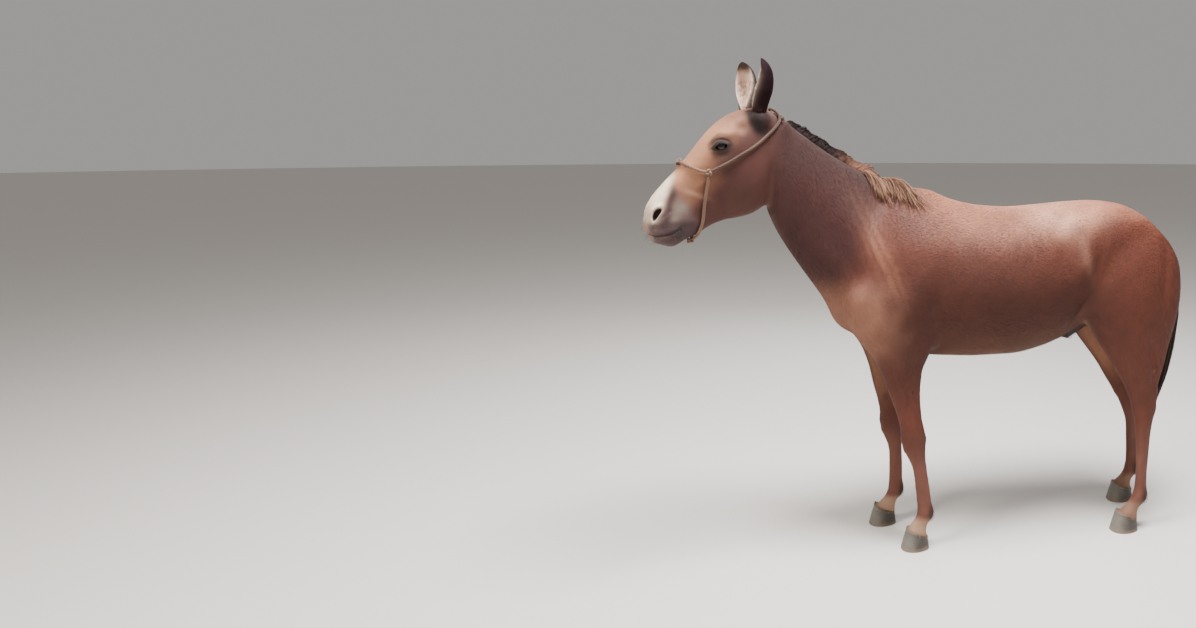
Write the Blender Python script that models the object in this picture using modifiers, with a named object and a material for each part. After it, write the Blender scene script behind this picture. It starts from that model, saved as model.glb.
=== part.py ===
"""A mule standing still, life size, 1.42 m high at the withers, with a rope halter on its head.

The flesh is one form: lofts for trunk, neck, head and legs, fused by a voxel remesh, smoothed, and given
its muscles by soft swellings and hollows. Thin plane cuts then part it into its nodes. Ears, eyes, hooves
and rope are pieces of their own. Numbers are metres: X to the animal's left, Y to its tail, Z up. Y is
counted from the middle of the fore feet, and each finished mesh moves so that the origin lies on the floor
under the middle of the animal's length.
"""

import math
import random

import bmesh
import bpy
import numpy as np
from mathutils import Matrix, Vector
from mathutils.bvhtree import BVHTree

OBJECT = "mule"
FORE_FEET_Y = -0.128  # the middle of the fore feet, from the origin
GAP = 0.0003  # between two nodes that touch
VOXEL = 0.006  # of the remesh that fuses the flesh
FLESH_TRIANGLES = {"head": 2580, "neck": 950, "torso": 1900, "foreleg_upper": 270, "foreleg_lower": 380,
                   "hindleg_upper": 380, "hindleg_lower": 400}

HEAD_YAW = math.radians(15)  # the head is turned this far to its left
POLL_X, POLL_Y = 0.075, -0.48  # where the head's middle plane passes over the poll

# Colour and roughness by the start of a node's name.
LOOKS = {
    "hoof": ((0.2, 0.19, 0.18), 0.5),
    "eye": ((0.02, 0.012, 0.01), 0.1),
    "halter": ((0.62, 0.48, 0.33), 0.9),
    "ear": ((0.12, 0.06, 0.045), 0.8),
    "tail": ((0.035, 0.022, 0.02), 0.6),
    "": ((0.24, 0.085, 0.05), 0.75),
}


def clear_scene():
    for old in list(bpy.data.objects):
        bpy.data.objects.remove(old, do_unlink=True)
    for name in (OBJECT, "cutters"):
        bpy.context.scene.collection.children.link(bpy.data.collections.new(name))


def material(name, colour, roughness):
    made = bpy.data.materials.new(name)
    made.use_nodes = True
    shader = made.node_tree.nodes["Principled BSDF"]
    shader.inputs["Base Color"].default_value = (*colour, 1)
    shader.inputs["Roughness"].default_value = roughness
    return made


def object_of(name, vertices, faces, collection="cutters"):
    """A mesh object; a cutter or a piece still to be joined stays in the collection of cutters."""
    mesh = bpy.data.meshes.new(name)
    mesh.from_pydata([tuple(v) for v in vertices], [], [tuple(f) for f in faces])
    made = bpy.data.objects.new(name, mesh)
    bpy.data.collections[collection].objects.link(made)
    if collection == "cutters":
        made.hide_render = True
        made.display_type = "WIRE"
    return made


def drop(*objects):
    for done in objects:
        bpy.data.objects.remove(done, do_unlink=True)


def applied(source):
    """The object with its modifiers made real."""
    graph = bpy.context.evaluated_depsgraph_get()
    mesh = bpy.data.meshes.new_from_object(source.evaluated_get(graph))
    source.modifiers.clear()
    source.data = mesh
    return source


def add_modifier(target, kind, **values):
    modifier = target.modifiers.new(kind.lower(), kind)
    for key, value in values.items():
        setattr(modifier, key, value)
    return modifier


def largest_surface(target):
    """Keeps the largest closed surface, which fills sealed hollows and drops loose scraps."""
    shape = bmesh.new()
    shape.from_mesh(target.data)
    left = set(shape.verts)
    groups = []
    while left:
        group = [left.pop()]
        for vertex in group:
            for edge in vertex.link_edges:
                other = edge.other_vert(vertex)
                if other in left:
                    left.discard(other)
                    group.append(other)
        groups.append(group)
    groups.sort(key=len)
    for group in groups[:-1]:
        bmesh.ops.delete(shape, geom=group, context="VERTS")
    bmesh.ops.triangulate(shape, faces=shape.faces)
    shape.to_mesh(target.data)
    shape.free()
    return target


def boolean(target, other, operation, solver="MANIFOLD"):
    """Joins to, or cuts from, the target one object or a list of them, and removes them."""
    others = other if isinstance(other, list) else [other]
    group = bpy.data.collections.new("operands")
    for item in others:
        group.objects.link(item)
    before = len(target.data.vertices)
    for method in (solver, "EXACT"):
        add_modifier(
            target, "BOOLEAN", operation=operation, solver=method, operand_type="COLLECTION", collection=group
        )
        applied(target)
        if len(target.data.vertices) != before:
            break
    drop(*others)
    bpy.data.collections.remove(group)
    return target


def copy_of(source, name):
    made = bpy.data.objects.new(name, source.data.copy())
    bpy.data.collections["cutters"].objects.link(made)
    made.hide_render = True
    made.display_type = "WIRE"
    return made


# Curves and lofts.


def along(knots, values, at):
    """Values read at places between knots by monotone cubic pieces, which never overshoot a knot."""
    knots = np.asarray(knots, float)
    values = np.asarray(values, float)
    if knots[0] > knots[-1]:
        knots, values = knots[::-1], values[::-1]
    flat = values.reshape(len(knots), -1)
    step = np.diff(knots)[:, None]
    rise = np.diff(flat, axis=0) / step
    slope = np.zeros_like(flat)
    same = rise[1:] * rise[:-1] > 0
    before, after = step[:-1], step[1:]
    weight = 2 * after + before
    other = after + 2 * before
    safe_left = np.where(same, rise[:-1], 1)
    safe_right = np.where(same, rise[1:], 1)
    slope[1:-1] = np.where(same, (weight + other) / (weight / safe_left + other / safe_right), 0)
    slope[0], slope[-1] = rise[0], rise[-1]
    at = np.clip(np.asarray(at, float), knots[0], knots[-1])
    i = np.clip(np.searchsorted(knots, at, side="right") - 1, 0, len(knots) - 2)
    width = (knots[i + 1] - knots[i])[:, None]
    t = ((at - knots[i])[:, None]) / width
    low, high = flat[i], flat[i + 1]
    hermite = (2 * t**3 - 3 * t**2 + 1) * low + (t**3 - 2 * t**2 + t) * width * slope[i]
    hermite += (3 * t**2 - 2 * t**3) * high + (t**3 - t**2) * width * slope[i + 1]
    return hermite.reshape((len(at), *values.shape[1:]))


def rounded(controls, per_span):
    """Rings of points on the closed Catmull-Rom curve through each row of controls."""
    t = np.linspace(0, 1, per_span, endpoint=False)[:, None, None]
    p0, p1 = np.roll(controls, 1, axis=1), controls
    p2, p3 = np.roll(controls, -1, axis=1), np.roll(controls, -2, axis=1)
    t = t[:, None]
    spans = 0.5 * (
        2 * p1 + (p2 - p0) * t + (2 * p0 - 5 * p1 + 4 * p2 - p3) * t**2 + (3 * p1 - p0 - 3 * p2 + p3) * t**3
    )
    rows, count = controls.shape[:2]
    return np.moveaxis(spans, 0, 2).reshape(rows, count * per_span, 3)


def loft(name, rings, collection="cutters"):
    """A closed skin of triangles over rings of equal length, with a fan over each end, its faces turned out."""
    rows, count = rings.shape[:2]
    index = np.arange(rows * count).reshape(rows, count)
    a, b = index[:-1], index[1:]
    quads = np.stack([a, np.roll(a, -1, 1), np.roll(b, -1, 1), b], axis=-1).reshape(-1, 4)
    first, last = rows * count, rows * count + 1
    faces = [tuple(q[corners]) for q in quads for corners in ([0, 1, 2], [0, 2, 3])]
    faces += [(first, j, i) for i, j in zip(index[0], np.roll(index[0], -1))]
    faces += [(last, i, j) for i, j in zip(index[-1], np.roll(index[-1], -1))]
    points = np.concatenate([rings.reshape(-1, 3), rings[:1].mean(1), rings[-1:].mean(1)])
    made = object_of(name, points, faces, collection)
    shape = bmesh.new()
    shape.from_mesh(made.data)
    bmesh.ops.recalc_face_normals(shape, faces=shape.faces)
    shape.to_mesh(made.data)
    shape.free()
    return made


# Trunk, neck and head: upright sections between a line above and a line below.

SECTION_HEIGHTS = (0, 0.05, 0.2, 0.42, 0.64, 0.83, 0.96, 1)


def section_rings(stations, steps, middle_x, yaw):
    """Rings of a form given by its upper line, lower line and half-widths at the section heights."""
    table = np.array([[*top, *bottom, *widths] for top, bottom, widths in stations])
    mid = (table[:, 0:2] + table[:, 2:4]) / 2
    reach = np.concatenate([[0], np.cumsum(np.hypot(*np.diff(mid, axis=0).T))])
    rows = along(reach, table, np.linspace(0, reach[-1], steps))
    top, bottom = rows[:, None, 0:2], rows[:, None, 2:4]
    heights = np.array(SECTION_HEIGHTS)[None, :, None]
    spine = bottom + (top - bottom) * heights
    widths = np.zeros((steps, len(SECTION_HEIGHTS)))
    widths[:, 1:-1] = rows[:, 4:]
    turn = yaw(rows[:, 0])[:, None]
    centre = middle_x(spine[:, :, 0])

    def side(sign):
        across = sign * widths
        return np.stack([centre + across * np.cos(turn), spine[:, :, 0] + across * np.sin(turn), spine[:, :, 1]], -1)

    controls = np.concatenate([side(1), side(-1)[:, -2:0:-1]], axis=1)
    return rounded(controls, 4)


def bend_x(y):
    """How far to the left the middle plane lies: none to the shoulders, an easy bend in the neck, then straight."""
    y = np.asarray(y, float)
    bend_from = -0.06
    t = np.clip((bend_from - y) / (bend_from - POLL_Y), 0, None)
    eased = POLL_X * t**2 * (1.6 - 0.6 * np.clip(t, 0, 1))
    straight = POLL_X + (POLL_Y - y) * math.tan(HEAD_YAW)
    return np.where(y < POLL_Y, straight, eased)


def bend_yaw(y):
    t = np.clip((-0.06 - np.asarray(y, float)) / (-0.06 - POLL_Y), 0, 1)
    return HEAD_YAW * t


TRUNK = (
    ((-0.222, 1.12), (-0.205, 0.93), (0.02, 0.04, 0.055, 0.055, 0.045, 0.02)),
    ((-0.185, 1.30), (-0.185, 0.845), (0.045, 0.09, 0.12, 0.125, 0.1, 0.04)),
    ((-0.1, 1.385), (-0.12, 0.79), (0.06, 0.125, 0.165, 0.165, 0.115, 0.045)),
    ((0, 1.412), (0, 0.768), (0.07, 0.15, 0.2, 0.2, 0.13, 0.045)),
    ((0.1, 1.41), (0.1, 0.757), (0.08, 0.17, 0.222, 0.222, 0.14, 0.045)),
    ((0.2, 1.374), (0.2, 0.749), (0.085, 0.185, 0.238, 0.238, 0.165, 0.065)),
    ((0.32, 1.347), (0.32, 0.743), (0.09, 0.198, 0.25, 0.25, 0.188, 0.088)),
    ((0.45, 1.338), (0.45, 0.744), (0.09, 0.205, 0.258, 0.258, 0.203, 0.105)),
    ((0.57, 1.343), (0.57, 0.765), (0.085, 0.196, 0.252, 0.256, 0.206, 0.115)),
    ((0.69, 1.354), (0.69, 0.81), (0.075, 0.175, 0.226, 0.24, 0.204, 0.118)),
    ((0.79, 1.358), (0.79, 0.865), (0.06, 0.14, 0.19, 0.216, 0.197, 0.112)),
    ((0.89, 1.347), (0.89, 0.93), (0.05, 0.11, 0.16, 0.198, 0.18, 0.098)),
    ((0.98, 1.312), (0.98, 0.98), (0.05, 0.1, 0.14, 0.168, 0.15, 0.075)),
    ((1.045, 1.268), (1.05, 1.02), (0.035, 0.07, 0.1, 0.118, 0.1, 0.045)),
    ((1.085, 1.22), (1.09, 1.06), (0.02, 0.04, 0.055, 0.06, 0.05, 0.025)),
)
NECK = (
    ((0.1, 1.385), (0.03, 0.88), (0.05, 0.12, 0.15, 0.13, 0.08, 0.03)),
    ((0.015, 1.428), (-0.12, 0.84), (0.055, 0.125, 0.155, 0.132, 0.074, 0.03)),
    ((-0.07, 1.452), (-0.232, 0.885), (0.055, 0.115, 0.14, 0.118, 0.066, 0.028)),
    ((-0.155, 1.49), (-0.293, 0.985), (0.05, 0.1, 0.118, 0.102, 0.06, 0.026)),
    ((-0.235, 1.534), (-0.357, 1.075), (0.045, 0.088, 0.102, 0.09, 0.056, 0.025)),
    ((-0.31, 1.58), (-0.418, 1.165), (0.042, 0.078, 0.092, 0.082, 0.053, 0.025)),
    ((-0.385, 1.632), (-0.472, 1.255), (0.04, 0.07, 0.085, 0.077, 0.052, 0.026)),
    ((-0.44, 1.672), (-0.507, 1.335), (0.036, 0.06, 0.075, 0.07, 0.05, 0.028)),
)
HEAD = (
    ((-0.43, 1.668), (-0.47, 1.42), (0.03, 0.055, 0.068, 0.064, 0.054, 0.034)),
    ((-0.48, 1.698), (-0.51, 1.365), (0.034, 0.062, 0.08, 0.077, 0.065, 0.042)),
    ((-0.545, 1.706), (-0.562, 1.332), (0.036, 0.068, 0.089, 0.089, 0.077, 0.05)),
    ((-0.612, 1.692), (-0.612, 1.314), (0.034, 0.067, 0.089, 0.097, 0.09, 0.06)),
    ((-0.668, 1.659), (-0.66, 1.303), (0.032, 0.062, 0.083, 0.097, 0.097, 0.066)),
    ((-0.722, 1.606), (-0.702, 1.291), (0.03, 0.054, 0.071, 0.083, 0.083, 0.056)),
    ((-0.778, 1.54), (-0.742, 1.274), (0.028, 0.046, 0.057, 0.065, 0.063, 0.044)),
    ((-0.83, 1.484), (-0.782, 1.253), (0.027, 0.04, 0.048, 0.053, 0.051, 0.037)),
    ((-0.87, 1.443), (-0.812, 1.241), (0.027, 0.04, 0.046, 0.049, 0.047, 0.035)),
    ((-0.901, 1.407), (-0.843, 1.233), (0.03, 0.042, 0.048, 0.051, 0.048, 0.034)),
    ((-0.921, 1.371), (-0.874, 1.237), (0.032, 0.043, 0.049, 0.051, 0.047, 0.032)),
    ((-0.931, 1.338), (-0.905, 1.25), (0.028, 0.038, 0.042, 0.042, 0.037, 0.024)),
    ((-0.934, 1.312), (-0.924, 1.274), (0.012, 0.02, 0.023, 0.022, 0.018, 0.01)),
)

# Legs: level sections, each with its height, front, back, inner side, outer side and how far its back narrows.

FORE_LEG = (
    (1.33, -0.06, 0.06, 0.02, 0.085, 0),
    (1.22, -0.125, 0.1, 0.02, 0.15, 0),
    (1.1, -0.18, 0.125, 0.02, 0.19, 0),
    (1, -0.22, 0.135, 0.02, 0.205, 0),
    (0.92, -0.216, 0.132, 0.025, 0.204, 0),
    (0.85, -0.185, 0.118, 0.04, 0.197, 0.1),
    (0.79, -0.138, 0.098, 0.054, 0.186, 0.1),
    (0.72, -0.1, 0.066, 0.07, 0.177, 0.1),
    (0.63, -0.065, 0.058, 0.082, 0.17, 0.1),
    (0.54, -0.035, 0.064, 0.093, 0.165, 0.1),
    (0.48, -0.022, 0.076, 0.092, 0.168, 0.05),
    (0.43, -0.018, 0.08, 0.093, 0.168, 0.1),
    (0.385, 0, 0.08, 0.1, 0.162, 0.2),
    (0.33, 0.024, 0.086, 0.107, 0.155, 0.15),
    (0.24, 0.036, 0.099, 0.108, 0.154, 0.15),
    (0.185, 0.042, 0.106, 0.107, 0.155, 0.1),
    (0.15, 0.044, 0.115, 0.101, 0.161, 0.1),
    (0.125, 0.038, 0.112, 0.101, 0.161, 0.15),
    (0.1, 0.02, 0.092, 0.105, 0.157, 0.2),
    (0.075, 0.001, 0.083, 0.094, 0.168, 0.05),
    (0.045, -0.008, 0.088, 0.092, 0.17, 0),
)
HIND_LEG = (
    (1.3, 0.74, 0.98, 0.02, 0.15, 0),
    (1.2, 0.7, 1.075, 0.02, 0.205, 0),
    (1.1, 0.69, 1.122, 0.02, 0.232, 0.1),
    (1, 0.692, 1.13, 0.022, 0.243, 0.15),
    (0.92, 0.712, 1.122, 0.035, 0.24, 0.15),
    (0.84, 0.752, 1.104, 0.055, 0.228, 0.2),
    (0.76, 0.808, 1.085, 0.075, 0.212, 0.25),
    (0.68, 0.862, 1.066, 0.093, 0.2, 0.3),
    (0.61, 0.902, 1.05, 0.107, 0.19, 0.45),
    (0.56, 0.924, 1.047, 0.113, 0.187, 0.5),
    (0.52, 0.936, 1.048, 0.113, 0.188, 0.45),
    (0.47, 0.95, 1.034, 0.115, 0.186, 0.35),
    (0.41, 0.958, 1.026, 0.122, 0.18, 0.2),
    (0.33, 0.965, 1.023, 0.127, 0.175, 0.15),
    (0.24, 0.967, 1.02, 0.128, 0.174, 0.15),
    (0.185, 0.966, 1.021, 0.127, 0.175, 0.1),
    (0.15, 0.96, 1.026, 0.121, 0.181, 0.1),
    (0.125, 0.95, 1.022, 0.121, 0.181, 0.15),
    (0.1, 0.925, 0.997, 0.125, 0.177, 0.2),
    (0.075, 0.9, 0.982, 0.114, 0.188, 0.05),
    (0.045, 0.888, 0.985, 0.112, 0.19, 0),
)
# How far the right legs stand from the left ones along Y, at heights.
RIGHT_FORE_SHIFT = ((0.86, 0), (0.7, -0.012), (0.6, -0.025), (0.45, -0.033), (0.3, -0.045), (0.16, -0.062), (0, -0.078))
RIGHT_HIND_SHIFT = ((1, 0), (0.8, 0.01), (0.66, 0.028), (0.58, 0.038), (0.5, 0.066), (0.43, 0.088), (0.37, 0.103),
                    (0.28, 0.106), (0.17, 0.112), (0, 0.128))


def shift_at(table, side, z):
    if side > 0:
        return np.zeros_like(np.asarray(z, float))
    knots, shifts = zip(*table)
    return along(knots, shifts, np.atleast_1d(z))


def leg_rings(stations, shifts, side, steps=90, count=28):
    """Rings of a leg: at angle t round a section the front is at t = 0 and the outer side at a quarter turn."""
    table = np.array(stations)
    z = np.linspace(table[0, 0], table[-1, 0], steps)
    front, back, inner, outer, pinch = along(table[:, 0], table[:, 1:], z).T[:, :, None]
    t = np.linspace(0, 2 * math.pi, count, endpoint=False)[None]
    fullness = 0.9  # a little squarer than an ellipse
    cos, sin = np.cos(t), np.sin(t)
    forward = np.sign(cos) * np.abs(cos) ** fullness
    outward = np.sign(sin) * np.abs(sin) ** fullness
    narrow = 1 - pinch * np.clip(-forward, 0, 1)
    y = (front + back) / 2 - (back - front) / 2 * forward + shift_at(shifts, side, z)[:, None]
    x = (inner + outer) / 2 + (outer - inner) / 2 * outward * narrow
    return np.stack([side * x, y, np.broadcast_to(z[:, None], x.shape)], axis=-1)


# The dock is the tail's root of flesh and bone; the sheath hangs before the groin. Each point has a radius.
DOCK = (
    ((0, 1.0, 1.24), 0.034),
    ((0, 1.055, 1.218), 0.034),
    ((0, 1.095, 1.175), 0.033),
    ((0, 1.122, 1.12), 0.03),
    ((0, 1.137, 1.05), 0.026),
    ((0, 1.143, 0.97), 0.02),
    ((0, 1.144, 0.91), 0.012),
)
SHEATH = (
    ((0, 0.82, 0.9), 0.03),
    ((0, 0.77, 0.868), 0.032),
    ((0, 0.725, 0.835), 0.027),
    ((0, 0.7, 0.808), 0.02),
    ((0, 0.69, 0.792), 0.014),
)
TAIL_FROM = 2  # the tail's own node starts at this point of the dock
EAR_ROOT = (0.06, -0.548, 1.66)  # side, Y and Z in the head


def tube_rings(stations, steps=24, count=16):
    """Rings of a round limb whose middle line runs through points, each with its radius."""
    points = np.array([p for p, _ in stations])
    radii = np.array([r for _, r in stations])
    reach = np.concatenate([[0], np.cumsum(np.linalg.norm(np.diff(points, axis=0), axis=1))])
    at = np.linspace(0, reach[-1], steps)
    centre = along(reach, points, at)
    radius = along(reach, radii, at)[:, None, None]
    tangent = np.gradient(centre, axis=0)
    tangent /= np.linalg.norm(tangent, axis=1, keepdims=True)
    side = np.cross(tangent, (0.3, 0, 1))
    side /= np.linalg.norm(side, axis=1, keepdims=True)
    other = np.cross(tangent, side)
    t = np.linspace(0, 2 * math.pi, count, endpoint=False)[None, :, None]
    return centre[:, None] + radius * (np.cos(t) * side[:, None] + np.sin(t) * other[:, None])


def ellipsoid(name, centre, radii, turn=None, segments=24):
    """A ball with three radii; turn is a 3 by 3 array whose rows are the directions of those radii."""
    shape = bmesh.new()
    bmesh.ops.create_uvsphere(shape, u_segments=segments, v_segments=segments * 2 // 3, radius=1)
    rows = np.eye(3) if turn is None else np.asarray(turn)
    for vertex in shape.verts:
        vertex.co = Vector(np.asarray(centre) + (np.array(vertex.co) * radii) @ rows)
    order = 1 if np.linalg.det(rows) > 0 else -1
    faces = [[v.index for v in f.verts][::order] for f in shape.faces]
    made = object_of(name, [v.co[:] for v in shape.verts], faces)
    shape.free()
    return made


def flesh():
    """All lofts fused into one closed skin by a voxel remesh."""
    pieces = [
        loft("trunk", section_rings(TRUNK, 70, lambda y: 0 * y, lambda y: 0 * y)),
        loft("neck", section_rings(NECK, 50, bend_x, bend_yaw)),
        loft("head", section_rings(HEAD, 60, bend_x, bend_yaw)),
    ]
    for side in (1, -1):
        pieces.append(loft("fore leg", leg_rings(FORE_LEG, RIGHT_FORE_SHIFT, side)))
        pieces.append(loft("hind leg", leg_rings(HIND_LEG, RIGHT_HIND_SHIFT, side)))
        pieces.append(ellipsoid("ear root", in_head(side * EAR_ROOT[0], *EAR_ROOT[1:]), (0.036, 0.038, 0.036)))
    pieces.append(loft("dock", tube_rings(DOCK[:TAIL_FROM + 2])))
    pieces.append(loft("sheath", tube_rings(SHEATH)))
    vertices, faces = [], []
    for piece in pieces:
        start = len(vertices)
        vertices += [v.co for v in piece.data.vertices]
        faces += [[start + i for i in f.vertices] for f in piece.data.polygons]
    drop(*pieces)
    body = object_of("flesh", vertices, faces)
    add_modifier(body, "REMESH", mode="VOXEL", voxel_size=VOXEL)
    return applied(body)


# Muscle and bone under the skin. Each form is a soft mound or hollow on the side it lies on: its middle,
# its reach along X, Y and Z, its height, and how far its long direction leans back from upright, in degrees.

BODY_FORMS = (
    ("shoulder blade ridge", (0.17, -0.13, 1.2), (0.1, 0.024, 0.15), 0.007, -20),
    ("hollow before the shoulder", (0.13, -0.225, 1.17), (0.1, 0.035, 0.17), -0.006, -25),
    ("point of the shoulder", (0.13, -0.2, 1.0), (0.1, 0.05, 0.06), 0.006, 0),
    ("triceps", (0.21, 0.0, 1.02), (0.1, 0.075, 0.09), 0.012, 30),
    ("hollow behind the shoulder", (0.22, 0.115, 1.08), (0.1, 0.035, 0.16), -0.011, 12),
    ("hollow behind the elbow", (0.2, 0.15, 0.85), (0.1, 0.04, 0.05), -0.008, 0),
    ("breast", (0.06, -0.235, 0.94), (0.06, 0.08, 0.08), 0.014, 0),
    ("furrow of the breast", (0.0, -0.24, 0.92), (0.018, 0.1, 0.08), -0.014, 0),
    ("throat channel", (0.05, -0.33, 1.12), (0.06, 0.03, 0.14), -0.006, -36),
    ("withers", (0.0, 0.06, 1.42), (0.035, 0.1, 0.05), 0.008, 0),
    ("loin", (0.1, 0.58, 1.32), (0.07, 0.12, 0.05), 0.006, 0),
    ("point of the hip", (0.2, 0.655, 1.285), (0.08, 0.04, 0.035), 0.014, 0),
    ("flank hollow", (0.22, 0.6, 1.17), (0.1, 0.06, 0.07), -0.014, 0),
    ("croup muscle", (0.14, 0.84, 1.3), (0.08, 0.1, 0.08), 0.009, 0),
    ("seam of the thigh", (0.2, 1.02, 1.05), (0.1, 0.02, 0.17), -0.008, 6),
    ("front of the thigh", (0.23, 0.77, 1.05), (0.1, 0.05, 0.1), 0.008, 18),
    ("stifle", (0.22, 0.735, 0.925), (0.1, 0.04, 0.04), 0.011, 0),
    ("flank fold", (0.18, 0.68, 0.93), (0.08, 0.02, 0.06), -0.01, 20),
    ("gaskin", (0.19, 0.93, 0.76), (0.05, 0.04, 0.07), 0.006, -20),
    ("forearm", (0.17, -0.05, 0.7), (0.04, 0.035, 0.08), 0.006, 0),
)
HEAD_FORMS = (
    ("cheek", (0.085, -0.59, 1.43), (0.06, 0.07, 0.075), 0.009, 0),
    ("edge before the cheek", (0.07, -0.69, 1.38), (0.05, 0.018, 0.08), -0.006, -25),
    ("hollow behind the cheek", (0.08, -0.5, 1.47), (0.05, 0.022, 0.1), -0.01, 12),
    ("facial crest", (0.075, -0.735, 1.462), (0.04, 0.06, 0.014), 0.0065, -40),
    ("brow", (0.085, -0.665, 1.612), (0.04, 0.036, 0.016), 0.01, -18),
    ("rim of the eye", (0.09, -0.684, 1.572), (0.05, 0.036, 0.028), 0.006, -20),
    ("hollow over the eye", (0.08, -0.618, 1.632), (0.04, 0.022, 0.018), -0.011, -30),
    ("hollow under the eye", (0.09, -0.7, 1.53), (0.04, 0.03, 0.02), -0.005, -30),
    ("root of the ear", (0.06, -0.545, 1.675), (0.03, 0.03, 0.03), 0.007, 0),
    ("side of the nose", (0.045, -0.82, 1.4), (0.04, 0.045, 0.03), -0.005, -40),
    ("wing of the nostril", (0.045, -0.895, 1.35), (0.035, 0.024, 0.03), 0.0085, -25),
    ("upper lip", (0.028, -0.925, 1.3), (0.03, 0.03, 0.02), 0.006, 0),
    ("corner of the mouth", (0.045, -0.845, 1.29), (0.03, 0.02, 0.018), 0.004, 0),
    ("lower lip", (0.0, -0.9, 1.245), (0.035, 0.025, 0.018), 0.004, 0),
    ("chin", (0.0, -0.85, 1.232), (0.03, 0.022, 0.02), 0.006, 0),
    ("chin groove", (0.0, -0.79, 1.25), (0.05, 0.02, 0.02), -0.005, 0),
    ("hollow between the jaws", (0.0, -0.66, 1.3), (0.022, 0.09, 0.03), -0.016, 0),
)


def head_side(points):
    """Points as (distance from the head's middle plane, Y in that plane, Z)."""
    away = (points[:, 0] - POLL_X) * math.cos(HEAD_YAW) + (points[:, 1] - POLL_Y) * math.sin(HEAD_YAW)
    return np.stack([away, points[:, 1] - away * math.sin(HEAD_YAW), points[:, 2]], axis=1)


def in_head(side, y, z):
    """The point that lies side to the left of the head's middle plane, over Y = y there, at height z."""
    return np.array([bend_x(y) + side * math.cos(HEAD_YAW), y + side * math.sin(HEAD_YAW), z])


def raised(points, forms):
    """How far each point moves out of the skin: a sum of bell shapes on the left side, mirrored to the right."""
    points = points * (1, 1, 1)
    points[:, 0] = np.abs(points[:, 0])
    total = np.zeros(len(points))
    for _, middle, reach, height, lean in forms:
        x, y, z = (points - middle).T
        turn = math.radians(lean)
        across = y * math.cos(turn) - z * math.sin(turn)
        length = y * math.sin(turn) + z * math.cos(turn)
        total += height * np.exp(-((x / reach[0]) ** 2 + (across / reach[1]) ** 2 + (length / reach[2]) ** 2))
    return total


def point_array(mesh, name="co", count=3):
    values = np.empty(len(mesh.vertices) * count)
    mesh.vertices.foreach_get(name, values)
    return values.reshape(-1, count)


def relaxed(points, edges, weights, rounds):
    """Points drawn half way to the mean of their neighbours, times their weight, this many times."""
    number = np.bincount(edges.ravel(), minlength=len(points))[:, None]
    for _ in range(rounds):
        total = np.stack(
            [
                np.bincount(edges[:, 0], points[edges[:, 1], axis], len(points))
                + np.bincount(edges[:, 1], points[edges[:, 0], axis], len(points))
                for axis in range(3)
            ],
            axis=1,
        )
        points = points + 0.5 * weights[:, None] * (total / number - points)
    return points


def smooth_step(values, low, high):
    t = np.clip((values - low) / (high - low), 0, 1)
    return t * t * (3 - 2 * t)


def finish_flesh(body):
    mesh = body.data
    edges = np.empty(len(mesh.edges) * 2, np.int64)
    mesh.edges.foreach_get("vertices", edges)
    edges = edges.reshape(-1, 2)
    points = point_array(mesh)
    on_trunk = smooth_step(points[:, 2], 0.7, 0.85) * smooth_step(points[:, 1], -0.6, -0.45)
    points = relaxed(points, edges, np.full(len(points), 1.0), 6)
    points = relaxed(points, edges, on_trunk, 60)
    mesh.vertices.foreach_set("co", points.ravel())
    mesh.update()
    normals = point_array(mesh, "normal")
    head = smooth_step(-points[:, 1], 0.46, 0.5)
    moved = (1 - head) * raised(points, BODY_FORMS) + head * raised(head_side(points), HEAD_FORMS)
    points = relaxed(points + normals * moved[:, None], edges, np.full(len(points), 1.0), 2)
    mesh.vertices.foreach_set("co", points.ravel())
    mesh.update()


# Parting the flesh. A plane is a point and the direction of the side that is kept.

FORWARD = (math.sin(HEAD_YAW), -math.cos(HEAD_YAW))
HEAD_PLANE = ((0.075, -0.478, 1.5), (0.993 * FORWARD[0], 0.993 * FORWARD[1], 0.119))
NECK_PLANE = ((0, -0.1, 1.185), (0, -0.852, 0.524))
FORE_TOP = 0.75
KNEE_CUT = 0.5
HIND_PLANE = ((0, 0.705, 0.798), (0, 0.5455, -0.838))
HOCK_CUT = 0.58
MARGIN = 0.03
THIGH_INNER = 0.038  # the thighs' nodes lie outside this, the sheath and the groin between them
FLANK_Y = 0.66


def opposite(plane):
    return plane[0], tuple(-c for c in plane[1])


def half_space(plane, inset):
    """A big cube that fills the side of the plane which isn't kept, moved by inset into the kept side."""
    point, normal = Vector(plane[0]), Vector(plane[1]).normalized()
    turn = normal.to_track_quat("Z", "Y").to_matrix()
    size = 4.0
    shape = bmesh.new()
    bmesh.ops.create_cube(shape, size=size)
    centre = point + normal * (inset - size / 2)
    points = [centre + turn @ v.co for v in shape.verts]
    faces = [[v.index for v in f.verts] for f in shape.faces]
    shape.free()
    return object_of("half space", points, faces)


def box(low, high):
    shape = bmesh.new()
    bmesh.ops.create_cube(shape, size=1)
    low, high = Vector(low), Vector(high)
    points = [low + Vector([(c + 0.5) * (b - a) for c, a, b in zip(v.co, low, high)]) for v in shape.verts]
    faces = [[v.index for v in f.verts] for f in shape.faces]
    shape.free()
    return object_of("box", points, faces)


def thinned(target, triangles):
    bm_count = sum(len(p.vertices) - 2 for p in target.data.polygons)
    add_modifier(target, "DECIMATE", ratio=min(1, triangles / bm_count), use_collapse_triangulate=True)
    return applied(target)


def region(body, name, planes, triangles):
    """The part of the flesh on the kept side of all planes, thinned before its last cut so that cuts stay flat."""
    piece = copy_of(body, name)
    for plane in planes:
        boolean(piece, half_space(plane, -MARGIN), "DIFFERENCE")
    thinned(piece, triangles)
    for plane in planes:
        boolean(piece, half_space(plane, GAP / 2), "DIFFERENCE")
    return largest_surface(piece)


def level(z, up):
    return (0, 0, z), (0, 0, 1 if up else -1)


# Feet: hooves under slanted coronets. Each has its side, X of its middle, Y of toe and heel.

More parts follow.
